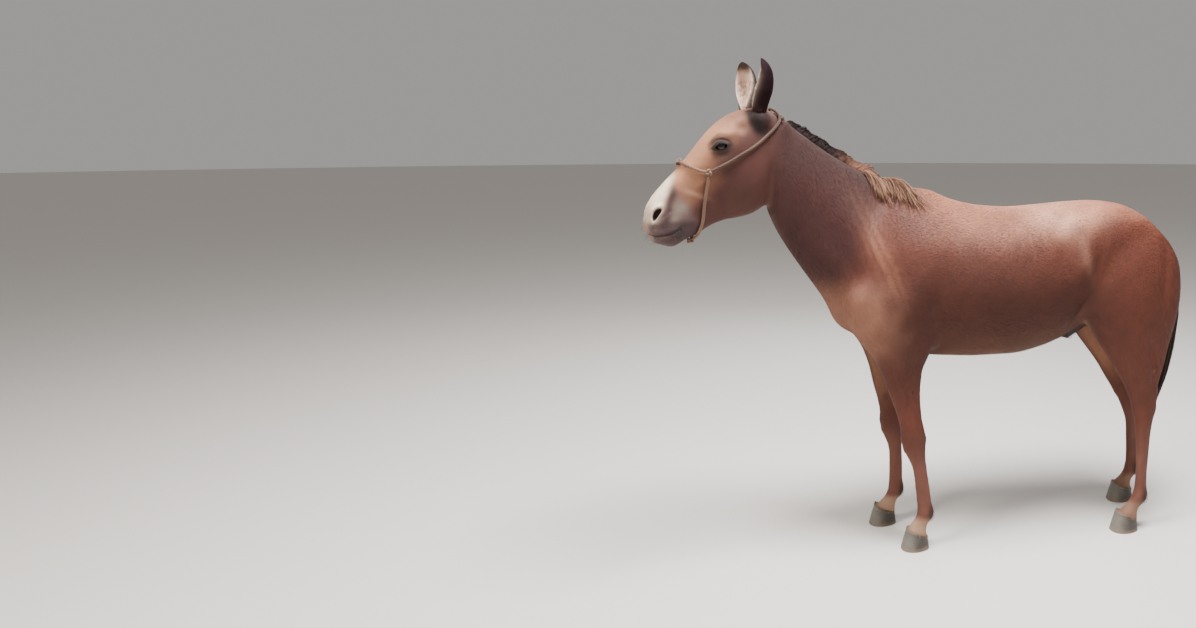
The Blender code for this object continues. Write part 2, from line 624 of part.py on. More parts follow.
HOOVES = {
    "hoof_fore_left": (0.131, -0.02, 0.096),
    "hoof_fore_right": (-0.131, -0.1, 0.018),
    "hoof_hind_left": (0.151, 0.868, 0.988),
    "hoof_hind_right": (-0.151, 0.996, 1.116),
}
TOE_HEIGHT, HEEL_HEIGHT = 0.08, 0.048
TOE_SLOPE = 0.024  # how far the coronet lies behind the toe
HOOF_WIDTH = 0.1


def hoof_plane(name):
    """The coronet's plane; its kept side is the leg's."""
    _, toe, heel = HOOVES[name]
    front, back = toe + TOE_SLOPE, heel - 0.006
    slope = (TOE_HEIGHT - HEEL_HEIGHT) / (back - front)
    return (0, front, TOE_HEIGHT), (0, slope, 1)


def hoof(name):
    """A hoof: rings between the ground's rounded outline and the smaller outline of the coronet."""
    middle, toe, heel = HOOVES[name]
    (_, front, top), (_, slope, _) = hoof_plane(name)
    t = np.linspace(0, 2 * math.pi, 22, endpoint=False)
    rings = []
    for up in (0, 0.1, 0.5, 0.93, 1):
        band = 0.0012 if 0.9 < up < 1 else 0  # the swollen coronary band
        y_front = toe + TOE_SLOPE * up - band
        y_back = heel - (0.002 + 0.008 * up) + band
        half = HOOF_WIDTH / 2 * (1 - 0.17 * up) + band
        fullness = 0.86
        ahead = np.sign(np.cos(t)) * np.abs(np.cos(t)) ** fullness
        out = np.sign(np.sin(t)) * np.abs(np.sin(t)) ** fullness
        narrow = 1 - 0.16 * np.clip(-ahead, 0, 1)
        cleft = 0.01 * np.exp(-((np.sin(t) / 0.16) ** 2)) * (np.cos(t) < 0) * (1 - 0.3 * up)
        y = (y_front + y_back) / 2 - (y_back - y_front) / 2 * ahead - cleft
        coronet = top - slope * (y - front) - GAP
        rings.append(np.stack([middle + half * out * narrow, y, up * coronet], axis=-1))
    return loft(name, np.array(rings))


# Ears: long cups, open ahead. Stations give the place along the ear, its radius, the half angle of the
# opening and how far it bends forward.

EAR_BASE = (0.061, -0.547, 1.678)
EAR_TIP = {1: (0.083, -0.535, 1.868), -1: (0.083, -0.552, 1.866)}
EAR_TURN = {1: 28, -1: 38}  # how far each opening turns inward, in degrees
EAR_WALL = 0.004
EAR = (
    (0, 0.0255, 14, 0),
    (0.14, 0.031, 24, -0.001),
    (0.3, 0.0365, 44, -0.004),
    (0.46, 0.039, 58, -0.006),
    (0.62, 0.0365, 66, -0.006),
    (0.77, 0.03, 72, -0.003),
    (0.89, 0.0195, 76, 0.003),
    (0.97, 0.009, 80, 0.009),
    (1, 0.003, 84, 0.012),
)


def unit(vector):
    return np.asarray(vector, float) / np.linalg.norm(vector)


def ear_axes(side):
    """The ear's base, its direction, where its opening faces and its sideways direction."""
    base = in_head(side * EAR_BASE[0], *EAR_BASE[1:])
    tip = in_head(side * EAR_TIP[side][0], *EAR_TIP[side][1:])
    up = unit(tip - base)
    turn = HEAD_YAW - side * math.radians(EAR_TURN[side])
    ahead = np.array([math.sin(turn), -math.cos(turn), 0])
    ahead = unit(ahead - up * (ahead @ up))
    return base, tip, up, ahead, np.cross(up, ahead)


def ear(name, side):
    base, tip, up, ahead, across = ear_axes(side)
    length = np.linalg.norm(tip - base)
    t = np.linspace(0, 1, 11)
    stations = np.array(EAR)
    radius, opening, bend = along(stations[:, 0], stations[:, 1:], t).T
    inner_share = 0.12 + 0.88 * smooth_step(t, 0.02, 0.2)
    rings = []
    for place, r, gap, forward, share in zip(t, radius, opening, bend, inner_share):
        angle = np.radians(np.linspace(gap, 360 - gap, 10))
        wall = min(EAR_WALL, 0.7 * r)
        arcs = []
        for reach, order in ((r, angle), ((r - wall) * share, angle[::-1])):
            depth, width = 0.85 * reach * np.cos(order), reach * np.sin(order)
            arcs.append(depth[:, None] * ahead + width[:, None] * across)
        rings.append(base + up * (GAP + length * place) + ahead * forward + np.concatenate(arcs))
    rings = np.array(rings)
    rows, count = rings.shape[:2]
    index = np.arange(rows * count).reshape(rows, count)
    a, b = index[:-1], index[1:]
    faces = np.stack([a, np.roll(a, -1, 1), np.roll(b, -1, 1), b], axis=-1).reshape(-1, 4).tolist()
    for row in (index[0], index[-1]):
        outer, inner = row[: count // 2], row[count // 2 :][::-1]
        faces += np.stack([outer[:-1], outer[1:], inner[1:], inner[:-1]], axis=-1).tolist()
    made = object_of(name, rings.reshape(-1, 3), faces)
    shape = bmesh.new()
    shape.from_mesh(made.data)
    bmesh.ops.recalc_face_normals(shape, faces=shape.faces)
    shape.to_mesh(made.data)
    shape.free()
    return made


def ear_seat(side):
    """What the head leaves free for the ear's root: the ear's own outline, filled, and wider by the gap."""
    base, tip, up, ahead, across = ear_axes(side)
    length = np.linalg.norm(tip - base)
    t = np.linspace(0, 2 * math.pi, 16, endpoint=False)[:, None]
    stations = np.array(EAR)
    rings = []
    for place in (0, 0.1, 0.22, 0.36):
        r, _, forward = along(stations[:, 0], stations[:, 1:], [place])[0]
        r = r / math.cos(math.pi / 16) + 2.5 * GAP
        middle = base + up * length * place + ahead * forward
        rings.append(middle + 0.85 * r * np.cos(t) * ahead + r * np.sin(t) * across)
    return loft("ear seat", np.array(rings))


# Eyes: balls set in sockets behind lids with an almond opening.

EYE_MIDDLE = (0.0785, -0.684, 1.572)
EYE_RADIUS = 0.0205
LID_OVER_EYE = 0.0028
LID_HALF_LENGTH, LID_UPPER, LID_LOWER = 0.0198, 0.012, 0.009
GAZE_FORWARD, GAZE_DOWN = 18, 4  # degrees


def eye_axes(side):
    """The eye's middle, its gaze, the direction to its front corner and the one up the lids."""
    middle = in_head(side * EYE_MIDDLE[0], *EYE_MIDDLE[1:])
    lateral = side * np.array([math.cos(HEAD_YAW), math.sin(HEAD_YAW), 0])
    ahead = np.array([*FORWARD, 0])
    turn, down = math.radians(GAZE_FORWARD), math.radians(GAZE_DOWN)
    gaze = unit(lateral * math.cos(turn) + ahead * math.sin(turn) - np.array([0, 0, math.sin(down)]))
    slant = np.array([0, 0, -math.sin(math.radians(12))])
    front = unit(ahead + slant - gaze * ((ahead + slant) @ gaze))
    return middle, gaze, front, unit(np.cross(gaze, front)) * (1 if np.cross(gaze, front)[2] > 0 else -1)


def cut_eye(head, side):
    middle, gaze, front, up = eye_axes(side)
    lid_radius = EYE_RADIUS + LID_OVER_EYE
    lids = ellipsoid("lids", middle, (lid_radius, 0.034, 0.027), (gaze, front, up), 16)
    boolean(head, lids, "UNION")
    rings = []
    t = np.linspace(0, 2 * math.pi, 16, endpoint=False)
    for out in (0.004, 0.04):
        height = np.where(np.sin(t) > 0, LID_UPPER, LID_LOWER) * np.sin(t) * np.abs(np.sin(t)) ** 0.35
        rings.append(
            middle + gaze * out + LID_HALF_LENGTH * np.cos(t)[:, None] * front + height[:, None] * up
        )
    boolean(head, loft("lid opening", np.array(rings)), "DIFFERENCE")
    ball = ellipsoid("socket", middle, (EYE_RADIUS + 1.5 * GAP,) * 3, (gaze, front, up), 14)
    return boolean(head, ball, "DIFFERENCE")


def eye(name, side):
    middle, gaze, front, up = eye_axes(side)
    return ellipsoid(name, middle, (EYE_RADIUS,) * 3, (gaze, front, up), 14)


# Nostrils and mouth.

NOSTRIL = (0.052, -0.903, 1.348)
NOSTRIL_RADII = (0.02, 0.0105, 0.02)  # depth, width, height
NOSTRIL_LEAN = 32  # degrees, its top back
# The line between the lips: Y and Z from the middle of the front to the corner, and its reach off the middle.
MOUTH = ((-0.95, 1.281), (-0.93, 1.279), (-0.905, 1.273), (-0.876, 1.275), (-0.85, 1.284), (-0.828, 1.296))
MOUTH_DEPTH, MOUTH_WIDTH = 0.008, 0.0032


def head_directions():
    return np.array([math.cos(HEAD_YAW), math.sin(HEAD_YAW), 0]), np.array([*FORWARD, 0])


def cut_nostril(head, side):
    lateral, ahead = head_directions()
    lean = math.radians(NOSTRIL_LEAN)
    up = unit(np.array([0, 0, math.cos(lean)]) - ahead * math.sin(lean))
    depth = unit(side * lateral + 0.5 * ahead)
    depth = unit(depth - up * (depth @ up))
    width = np.cross(depth, up)
    pit = ellipsoid("nostril", in_head(side * NOSTRIL[0], *NOSTRIL[1:]), NOSTRIL_RADII, (depth, width, up), 12)
    return boolean(head, pit, "DIFFERENCE")


def bvh_of(target):
    return BVHTree.FromPolygons(
        [v.co[:] for v in target.data.vertices], [tuple(p.vertices) for p in target.data.polygons]
    )


def cut_mouth(head):
    """A groove between the lips: a blade that follows the skin from corner to corner, thin at its inner edge."""
    skin = bvh_of(head)
    line = np.array(MOUTH)
    half = along(np.arange(len(line)), line, np.linspace(0.6, len(line) - 1, 9))
    rings = []
    for side in (-1, 1):
        for place, (y, z) in enumerate(half[:: -1 if side < 0 else 1]):
            turn = place / 8 if side > 0 else 1 - place / 8
            lateral, ahead = head_directions()
            start = in_head(0, max(y, -0.9) + 0.01, z)
            out = unit(side * lateral * (0.25 + turn) + ahead * (1.02 - turn) * 0.9)
            hit, normal, _, _ = skin.ray_cast(Vector(start), Vector(out), 0.2)
            hit, normal = np.array(hit), np.array(normal)
            end = 0.25 if place in (0, 8) and turn > 0.9 else 1
            outer, inner = hit + 0.006 * out, hit - MOUTH_DEPTH * end * out
            up = np.array([0, 0, 1.0])
            wide, thin = MOUTH_WIDTH * end, 0.0006
            rings.append([outer + up * wide, outer - up * wide, inner - up * thin, inner + up * thin])
    return boolean(head, loft("mouth", np.array(rings)), "DIFFERENCE")


# Locks of tail and mane: flat, tapered, bent along their own paths.


def lock(path, out, width, thickness):
    """A three-sided lock along the path, its ridge turned out, widest in its middle, closed by a small tip."""
    tangent = np.gradient(path, axis=0)
    across = np.array([unit(np.cross(t, o)) for t, o in zip(tangent, out)])
    t = np.linspace(0, 1, len(path))[:, None]
    half = width / 2 * (0.72 + 0.9 * t - 1.55 * t**2)
    deep = thickness * (1 - 0.8 * t)
    rings = np.stack([path + across * half, path + out * deep, path - across * half], axis=1)
    return loft("lock", rings)


# Bands of mane: from Y, to Y, side it falls to, locks, rise over the crest, length of the fall.
MANE_BANDS = ((-0.405, -0.095, -1, 13, 0.05, 0.075), (-0.11, 0.028, 1, 5, 0.036, 0.13))
MANE_ROOT = 0.014  # how deep a root is sunk
MANE_WIDTH, MANE_THICKNESS = 0.046, 0.014


def crest_at(skin, y):
    """The crest's top over Y = y, the direction square to it, and the direction down along it."""
    x = float(bend_x(y))
    found = [np.array(skin.ray_cast(Vector((x, y + d, 2.2)), Vector((0, 0, -1)))[0]) for d in (-0.01, 0, 0.01)]
    run = unit(found[2] - found[0])
    return found[1], unit(np.cross(np.cross(run, (0, 0, 1)), run)), run


def mane_locks(skin, start, end, side, number, rise, fall):
    """Locks that rise from the crest, bend over to one side and lie down along the neck."""
    rng = random.Random(7 + side)
    made = []
    for i in range(number):
        y = start + (end - start) * (i + 0.5) / number + rng.uniform(-0.003, 0.003)
        top, up, run = crest_at(skin, y)
        over = np.array([side, 0, 0])
        end_share = min(1, 0.7 + 3 * (i + 0.5) / number) if side < 0 else min(1, 0.75 + (number - i) / number)
        high = rise * end_share * rng.uniform(0.92, 1.06)
        reach = fall * end_share * rng.uniform(0.85, 1.15)
        arc = [top - up * MANE_ROOT, top + up * high * 0.55 + over * 0.002]
        arc.append(top + up * high + over * high * 0.38 + run * 0.006)
        arc.append(top + up * high * 0.72 + over * high * 0.95 + run * 0.016)
        last = arc[-1]
        for step in (0.5, 1.0):
            down = np.array([0, 0, -1]) * reach * step + run * 0.012 * step + over * 0.01
            arc.append(on_skin(skin, last + down, (0.011 - 0.005 * step) * rng.uniform(0.8, 1.2)))
        path = smooth_path(arc, 0.036)
        out = np.array([unit(np.cross(run, t)) * side for t in np.gradient(path, axis=0)])
        made.append(lock(path, out, MANE_WIDTH * rng.uniform(0.9, 1.15), MANE_THICKNESS))
    return made


# The tail: a core round the dock, and rows of locks that hang from it: height of the row, locks, lowest tip.
TAIL_LIFT = 0.003  # the short hair on the dock
TAIL_CORE = (((0, 1.15, 0.86), 0.024), ((0, 1.148, 0.8), 0.014))
TAIL_ROWS = ((1.09, 3, 0.6), (0.96, 6, 0.5))
TAIL_WIDTH, TAIL_THICKNESS = 0.062, 0.018
TAIL_SPREAD = ((1.2, 0.032), (1.1, 0.037), (1, 0.045), (0.9, 0.053), (0.76, 0.052), (0.62, 0.036), (0.5, 0.01))


def tail_middle(z):
    """The tail's middle line behind the hind legs, at a height."""
    points = np.array([p for p, _ in DOCK[TAIL_FROM:]] + [(0, 1.146, 0.8), (0, 1.138, 0.62), (0, 1.126, 0.48)])
    return along(points[:, 2], points, np.atleast_1d(z))[0]


def tail_core():
    stations = [(p, r + TAIL_LIFT) for p, r in DOCK[TAIL_FROM:-1]] + list(TAIL_CORE)
    return tube_rings(stations, 11, 12)


def tail_seat():
    """The tail's root made wider by the gap: what the rump leaves free."""
    rings = tail_core()[:9]
    centre = rings.mean(axis=1, keepdims=True)
    radius = np.linalg.norm(rings - centre, axis=2, keepdims=True)
    rings = centre + (rings - centre) * (1 + 2 * GAP / radius)
    start = (centre[0] - centre[1]) / np.linalg.norm(centre[0] - centre[1])
    rings[0] += start * GAP
    return loft("tail seat", rings)


def tail_locks():
    rng = random.Random(11)
    spread = np.array(TAIL_SPREAD)
    made = []
    for row, (top, number, low) in enumerate(TAIL_ROWS):
        for i in range(number):
            turn = 2 * math.pi * (i + 0.5 * (row % 2) + rng.uniform(-0.15, 0.15)) / number
            out = np.array([math.sin(turn), math.cos(turn), 0])
            if top > 1.05:  # only behind the dock, clear of the rump
                out = unit((0.6 * out[0], 1, 0))
            tip = low * rng.uniform(0.98, 1.06)
            path = [tail_middle(top + 0.01) + out * 0.008]
            for share in (0.12, 0.35, 0.6, 0.82, 1):
                z = top + (tip - top) * share
                wide = along(spread[:, 0], spread[:, 1:], [z])[0, 0] - TAIL_THICKNESS / 2
                sway = 0.006 * math.sin(3 * share + row) * np.array([out[1], -out[0], 0])
                place = out * wide * (1 - 0.25 * share)
                if place[1] < 0:
                    place[1] *= 1 - float(smooth_step(z, 0.74, 0.88))
                path.append(tail_middle(z) + place + sway)
            path = np.array(path)
            made.append(lock(path, np.tile(out, (len(path), 1)), TAIL_WIDTH * rng.uniform(0.9, 1.1), TAIL_THICKNESS))
    return made


# The halter: one rope tied round nose, jaw and poll. Places are side, Y and Z in the head.

ROPE_RADIUS = 0.0055
ROPE_LIFT = 0.0018  # between the rope's skin and the hair under it
CHEEK_KNOT = (0.081, -0.73, 1.483)
BRIDGE_KNOT = (0, -0.8, 1.513)
CHIN_KNOT = (0, -0.782, 1.244)
NOSE_ROPE = (CHEEK_KNOT, (0.066, -0.766, 1.493), (0.036, -0.795, 1.507), BRIDGE_KNOT)
JAW_ROPE = (CHEEK_KNOT, (0.072, -0.738, 1.43), (0.057, -0.745, 1.377), (0.04, -0.75, 1.31), (0.02, -0.772, 1.262),
            CHIN_KNOT)
CROWN_ROPE = (CHEEK_KNOT, (0.096, -0.666, 1.519), (0.1, -0.62, 1.547), (0.093, -0.574, 1.573), (0.066, -0.505, 1.63),
              (0.043, -0.468, 1.664), (0.022, -0.487, 1.69), (0, -0.494, 1.7))


def mirrored(path):
    """The path from the left and its mirror image to the right, as places in the head."""
    return list(path) + [(-s, y, z) for s, y, z in path[-2::-1]]


def smooth_path(points, spacing):
    points = np.array(points)
    reach = np.concatenate([[0], np.cumsum(np.linalg.norm(np.diff(points, axis=0), axis=1))])
    count = max(2, round(reach[-1] / spacing) + 1)
    return along(reach, points, np.linspace(0, reach[-1], count))


def on_skin(skin, point, lift):
    """The skin's nearest point, lifted off it along the direction out."""
    point = Vector(point)
    hit, normal, _, _ = skin.find_nearest(point)
    return np.array(hit + normal * lift)


def laid(skin, path, spacing=0.024):
    """The rope's middle line: the path's places brought onto the skin, evened out twice and lifted clear."""
    points = smooth_path([in_head(*place) for place in path], spacing)
    points = np.array([on_skin(skin, p, 0.01) for p in points])
    points[1:-1] = (points[:-2] + 2 * points[1:-1] + points[2:]) / 4
    return np.array([on_skin(skin, p, ROPE_RADIUS + ROPE_LIFT) for p in points])


def rope(name, points):
    """A tube along the points: a curve with a round bevel and filled ends, made a mesh."""
    curve = bpy.data.curves.new(name, "CURVE")
    curve.dimensions = "3D"
    curve.bevel_depth = ROPE_RADIUS
    curve.bevel_resolution = 2
    curve.use_fill_caps = True
    spline = curve.splines.new("POLY")
    spline.points.add(len(points) - 1)
    for place, point in zip(spline.points, points):
        place.co = (*point, 1)
    tube = bpy.data.objects.new("tube", curve)
    bpy.data.collections["cutters"].objects.link(tube)
    graph = bpy.context.evaluated_depsgraph_get()
    mesh = bpy.data.meshes.new_from_object(tube.evaluated_get(graph))
    made = bpy.data.objects.new(name, mesh)
    made.matrix_world = tube.matrix_world
    drop(tube)
    bpy.data.collections["cutters"].objects.link(made)
    made.hide_render = True
    made.display_type = "WIRE"
    shape = bmesh.new()
    shape.from_mesh(made.data)
    bmesh.ops.remove_doubles(shape, verts=shape.verts, dist=1e-5)
    bmesh.ops.recalc_face_normals(shape, faces=shape.faces)
    shape.to_mesh(made.data)
    shape.free()
    return made


def knot(skin, place, radii, extra=0.0):
    """A knot lying on the skin: a ball with its flat radius along the direction out."""
    point = Vector(in_head(*place))
    hit, normal, _, _ = skin.find_nearest(point)
    out = np.array(normal)
    side = unit(np.cross(out, (0, 0, 1)))
    turn = (out, side, np.cross(out, side))
    centre = np.array(hit) + out * (radii[0] + 0.0008)
    return ellipsoid("knot", centre, np.array(radii) + extra, turn, 10)


def halter(head, neck):
    """Three nodes: the noseband with its knots, the rope round the jaw, the rope over the poll."""
    points = [v.co[:] for node in (head, neck) for v in node.data.vertices]
    first = len(head.data.vertices)
    faces = [tuple(p.vertices) for p in head.data.polygons]
    faces += [tuple(first + i for i in p.vertices) for p in neck.data.polygons]
    skin = BVHTree.FromPolygons(points, faces)
    right_knot = (-CHEEK_KNOT[0], *CHEEK_KNOT[1:])
    cheek = (0.0115, 0.015, 0.013)
    band = rope("halter_noseband", laid(skin, mirrored(NOSE_ROPE)))
    knots = [knot(skin, place, cheek) for place in (CHEEK_KNOT, right_knot)]
    knots.append(knot(skin, BRIDGE_KNOT, (0.0125, 0.018, 0.013)))
    boolean(band, knots, "UNION")
    jaw = rope("halter_jaw_rope", laid(skin, mirrored(JAW_ROPE)))
    boolean(jaw, [knot(skin, CHIN_KNOT, (0.012, 0.015, 0.015))], "UNION")
    crown = rope("halter_crown_rope", laid(skin, mirrored(CROWN_ROPE)))
    poll_knot = (0.043, -0.47, 1.662)
    boolean(crown, [knot(skin, poll_knot, (0.009, 0.012, 0.011))], "UNION")
    nodes = {"halter_noseband": band, "halter_jaw_rope": jaw, "halter_crown_rope": crown}
    for node in (jaw, crown):
        room = [knot(skin, place, cheek, 2 * GAP) for place in (CHEEK_KNOT, right_knot)]
        boolean(node, room, "DIFFERENCE")
        largest_surface(node)
    return nodes


def show(target, colour, roughness):
    """Moves a finished piece from the cutters to the model, sets its origin and gives it a material."""
    bpy.data.collections["cutters"].objects.unlink(target)
    bpy.data.collections[OBJECT].objects.link(target)
    target.hide_render = False
    target.display_type = "TEXTURED"
    target.data.transform(Matrix.Translation((0, FORE_FEET_Y, 0)))
    target.data.materials.clear()
    target.data.materials.append(material(target.name, colour, roughness))


def hind_prism(side):
    """The room of a thigh beside and under the belly, wider by half the gap than the leg's own cut."""
    (_, y, z), (_, ny, nz) = HIND_PLANE
    inner, outer = THIGH_INNER - GAP / 2, 0.6
    up = GAP / 2 / nz
    line = [(at, z - (at - y) * ny / nz - up) for at in (FLANK_Y, 1.4)]
    outline = [*line, (1.4, -1), (FLANK_Y, -1)]
    points = [(side * x, *place) for x in (inner, outer) for place in outline]
    faces = [(0, 1, 2, 3), (7, 6, 5, 4), (0, 4, 5, 1), (1, 5, 6, 2), (2, 6, 7, 3), (3, 7, 4, 0)]
    made = object_of("thigh room", points, faces)
    shape = bmesh.new()
    shape.from_mesh(made.data)
    bmesh.ops.recalc_face_normals(shape, faces=shape.faces)
    shape.to_mesh(made.data)
    shape.free()
    return made


def build():
    clear_scene()
    body = flesh()
    finish_flesh(body)
    skin = bvh_of(body)
    nodes = {}
    head = region(body, "head", [HEAD_PLANE], FLESH_TRIANGLES["head"])
    for side in (1, -1):
        boolean(head, ear_seat(side), "DIFFERENCE")
        cut_eye(head, side)
        cut_nostril(head, side)
    cut_mouth(head)
    neck = region(body, "neck", [opposite(HEAD_PLANE), NECK_PLANE], FLESH_TRIANGLES["neck"])
    nodes.update(halter(head, neck))
    boolean(neck, [piece for band in MANE_BANDS for piece in mane_locks(skin, *band)], "UNION")
    nodes["head"] = head
    nodes["neck"] = largest_surface(neck)
    for side, word in ((1, "left"), (-1, "right")):
        half = ((0, 0, 0), (side, 0, 0))
        inner = ((side * THIGH_INNER, 0, 0), (side, 0, 0))
        ahead, behind = ((0, 0.3, 0), (0, -1, 0)), ((0, FLANK_Y, 0), (0, 1, 0))
        parts = {
            "foreleg_upper": [half, level(FORE_TOP, False), ahead, level(KNEE_CUT, True)],
            "foreleg_lower": [half, level(KNEE_CUT, False), ahead, hoof_plane(f"hoof_fore_{word}")],
            "hindleg_upper": [inner, HIND_PLANE, level(HOCK_CUT, True), behind],
            "hindleg_lower": [half, level(HOCK_CUT, False), behind, hoof_plane(f"hoof_hind_{word}")],
        }
        for part, planes in parts.items():
            limb, length = part.split("_")
            name = f"{limb}_{word}_{length}"
            nodes[name] = region(body, name, planes, FLESH_TRIANGLES[part])
        nodes[f"ear_{word}"] = ear(f"ear_{word}", side)
        nodes[f"eye_{word}"] = eye(f"eye_{word}", side)
    for name in HOOVES:
        nodes[name] = hoof(name)
    tail = boolean(loft("tail", tail_core()), tail_locks(), "UNION")
    nodes["tail"] = largest_surface(tail)
    torso = copy_of(body, "torso")
    boolean(torso, half_space(opposite(NECK_PLANE), -MARGIN), "DIFFERENCE")
    boolean(torso, box((-1, -1, -1), (1, 0.3, FORE_TOP - MARGIN)), "DIFFERENCE")
    thinned(torso, FLESH_TRIANGLES["torso"])
    boolean(torso, half_space(opposite(NECK_PLANE), GAP / 2), "DIFFERENCE")
    boolean(torso, box((-1, -1, -1), (1, 0.3, FORE_TOP + GAP / 2)), "DIFFERENCE")
    for side in (1, -1):
        boolean(torso, hind_prism(side), "DIFFERENCE")
    boolean(torso, tail_seat(), "DIFFERENCE")
    nodes["torso"] = largest_surface(torso)
    drop(body)
    for name, node in nodes.items():
        colour, roughness = next(look for start, look in LOOKS.items() if name.startswith(start))
        show(node, colour, roughness)


build()
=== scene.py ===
"""A mule standing still at life size, with a rope halter: its coat, hair, eyes, ears, hooves and rope.

Places are worked out in metres, X to the animal's left, Y to its tail, Z up, with Y counted from the middle
of the fore feet, and each finished piece moves by FORE_FEET_Y into the frame of the solids.
"""

import math

import bmesh
import bpy
import numpy as np
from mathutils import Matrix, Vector
from mathutils.bvhtree import BVHTree


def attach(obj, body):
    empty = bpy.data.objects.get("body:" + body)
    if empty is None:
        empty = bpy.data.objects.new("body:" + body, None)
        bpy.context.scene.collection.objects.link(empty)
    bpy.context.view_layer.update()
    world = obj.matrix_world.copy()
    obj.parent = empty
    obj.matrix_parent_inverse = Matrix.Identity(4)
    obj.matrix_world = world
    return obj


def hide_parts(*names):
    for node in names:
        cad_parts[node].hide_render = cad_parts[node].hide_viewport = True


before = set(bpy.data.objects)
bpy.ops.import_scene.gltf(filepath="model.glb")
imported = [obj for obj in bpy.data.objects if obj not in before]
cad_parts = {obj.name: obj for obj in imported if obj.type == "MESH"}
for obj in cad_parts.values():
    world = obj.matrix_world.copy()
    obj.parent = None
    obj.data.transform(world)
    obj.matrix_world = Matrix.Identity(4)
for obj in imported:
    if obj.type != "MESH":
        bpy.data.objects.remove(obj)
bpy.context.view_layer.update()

# Camera, lights and floor. The camera stands where the photograph was taken: to the left of the animal and a
# little ahead of its shoulder, at the height of a standing person's chest. The floor is plain and pale.

PHOTO_WIDTH, PHOTO_HEIGHT = 1196, 628
FOCAL_PIXELS = 887
AXIS_PIXEL = (897, 312)  # where the lens's axis meets the photograph
CAMERA_PLACE = (3.332, -0.865, 1.593)
CAMERA_PITCH = math.radians(10.974)
CAMERA_HEADING = (-0.97688, 0.21379)
FLOOR_RADII = (0.01, 1.5, 4.0, 12.0, 60.0)
FLOOR_CORNERS = 96
FLOOR_DROP = 0.0005  # under the soles, so that the two don't flicker
FLOOR_COLOUR = (0.7, 0.66, 0.62, 1)
STUDIO_COLOUR, STUDIO_STRENGTH = (0.89, 0.86, 0.83, 1), 0.42


def place_camera():
    """The camera as solved from the photograph, with its axis beside the picture's middle."""
    lens = bpy.data.cameras.new("camera")
    lens.sensor_width = 36
    lens.lens = FOCAL_PIXELS / PHOTO_WIDTH * lens.sensor_width
    lens.shift_x = (PHOTO_WIDTH / 2 - AXIS_PIXEL[0]) / PHOTO_WIDTH
    lens.shift_y = (AXIS_PIXEL[1] - PHOTO_HEIGHT / 2) / PHOTO_WIDTH
    camera = bpy.data.objects.new("camera", lens)
    camera.location = CAMERA_PLACE
    level = math.cos(CAMERA_PITCH)
    ahead = Vector((CAMERA_HEADING[0] * level, CAMERA_HEADING[1] * level, -math.sin(CAMERA_PITCH)))
    camera.rotation_euler = ahead.to_track_quat("-Z", "Y").to_euler()
    bpy.context.scene.collection.objects.link(camera)
    bpy.context.scene.camera = camera


def area_light(name, place, aim, size, power, colour):
    lamp = bpy.data.lights.new(name, "AREA")
    lamp.shape = "DISK"
    lamp.size = size
    lamp.energy = power
    lamp.color = colour
    light = bpy.data.objects.new(name, lamp)
    light.location = place
    light.rotation_euler = (Vector(aim) - Vector(place)).to_track_quat("-Z", "Y").to_euler()
    bpy.context.scene.collection.objects.link(light)


def lay_floor():
    """A flat disc of rings: each ring a circle round the animal's middle."""
    turn = np.linspace(0, 2 * math.pi, FLOOR_CORNERS, endpoint=False)
    radii = np.array(FLOOR_RADII)[:, None]
    rings = np.stack([radii * np.cos(turn), radii * np.sin(turn), 0 * radii * turn - FLOOR_DROP], axis=-1)
    index = np.arange(rings[..., 0].size).reshape(-1, FLOOR_CORNERS)
    quads = np.stack([index[:-1], index[1:], np.roll(index[1:], -1, 1), np.roll(index[:-1], -1, 1)], -1)
    mesh = bpy.data.meshes.new("floor")
    mesh.from_pydata(rings.reshape(-1, 3).tolist(), [], quads.reshape(-1, 4).tolist() + [index[0].tolist()])
    floor = bpy.data.objects.new("floor", mesh)
    bpy.context.scene.collection.objects.link(floor)
    pale = bpy.data.materials.new("pale floor")
    pale.use_nodes = True
    shader = pale.node_tree.nodes["Principled BSDF"]
    shader.inputs["Base Color"].default_value = FLOOR_COLOUR
    shader.inputs["Roughness"].default_value = 0.95
    mesh.materials.append(pale)


place_camera()
area_light("key", (1.5, -3.4, 4.7), (0, -0.3, 1.2), 1.6, 250, (1.0, 0.96, 0.9))
area_light("sky", (1.0, 0.4, 4.8), (0, 0.3, 0.9), 2.0, 610, (0.98, 0.98, 1.0))
area_light("fill", (4.6, 1.2, 2.2), (0, 0, 0.8), 3.0, 10, (1.0, 0.98, 0.96))
area_light("far side", (-3.6, 0.6, 3.0), (0, 0, 0.9), 3.0, 60, (0.97, 0.98, 1.0))
world = bpy.data.worlds.new("studio")
world.use_nodes = True
background = world.node_tree.nodes["Background"]
background.inputs["Color"].default_value = STUDIO_COLOUR
background.inputs["Strength"].default_value = STUDIO_STRENGTH
bpy.context.scene.world = world
lay_floor()


# The hide. One skin of short red-brown hair over muscle and bone covers trunk, neck, head and legs. It is
# built as the animal is: barrel, neck, head and four legs lofted through their sections, grown together,
# then shaped by mounds and hollows, with lids, nostrils and lips worked into the head.

FORE_FEET_Y = -0.128
COAT_DEPTH = 0.0022  # of the short hair that lies over the skin
VOXEL = 0.006
SHEATH_SKIN = 0.005  # loose skin round the sheath
LEG_FULLNESS = 0.9  # the legs are a little squarer than an oval
EAR_ROOT = (0.06, -0.548, 1.66)  # side, Y and Z in the head
HEAD_YAW = math.radians(15)
POLL_X, POLL_Y = 0.075, -0.48
FORWARD = np.array([math.sin(HEAD_YAW), -math.cos(HEAD_YAW), 0])
SIDEWAYS = np.array([math.cos(HEAD_YAW), math.sin(HEAD_YAW), 0])
BEND_START = -0.06  # where the neck begins to bend to the left
SECTION_HEIGHTS = (0, 0.05, 0.2, 0.42, 0.64, 0.83, 0.96, 1)  # from the lower line up to the upper one
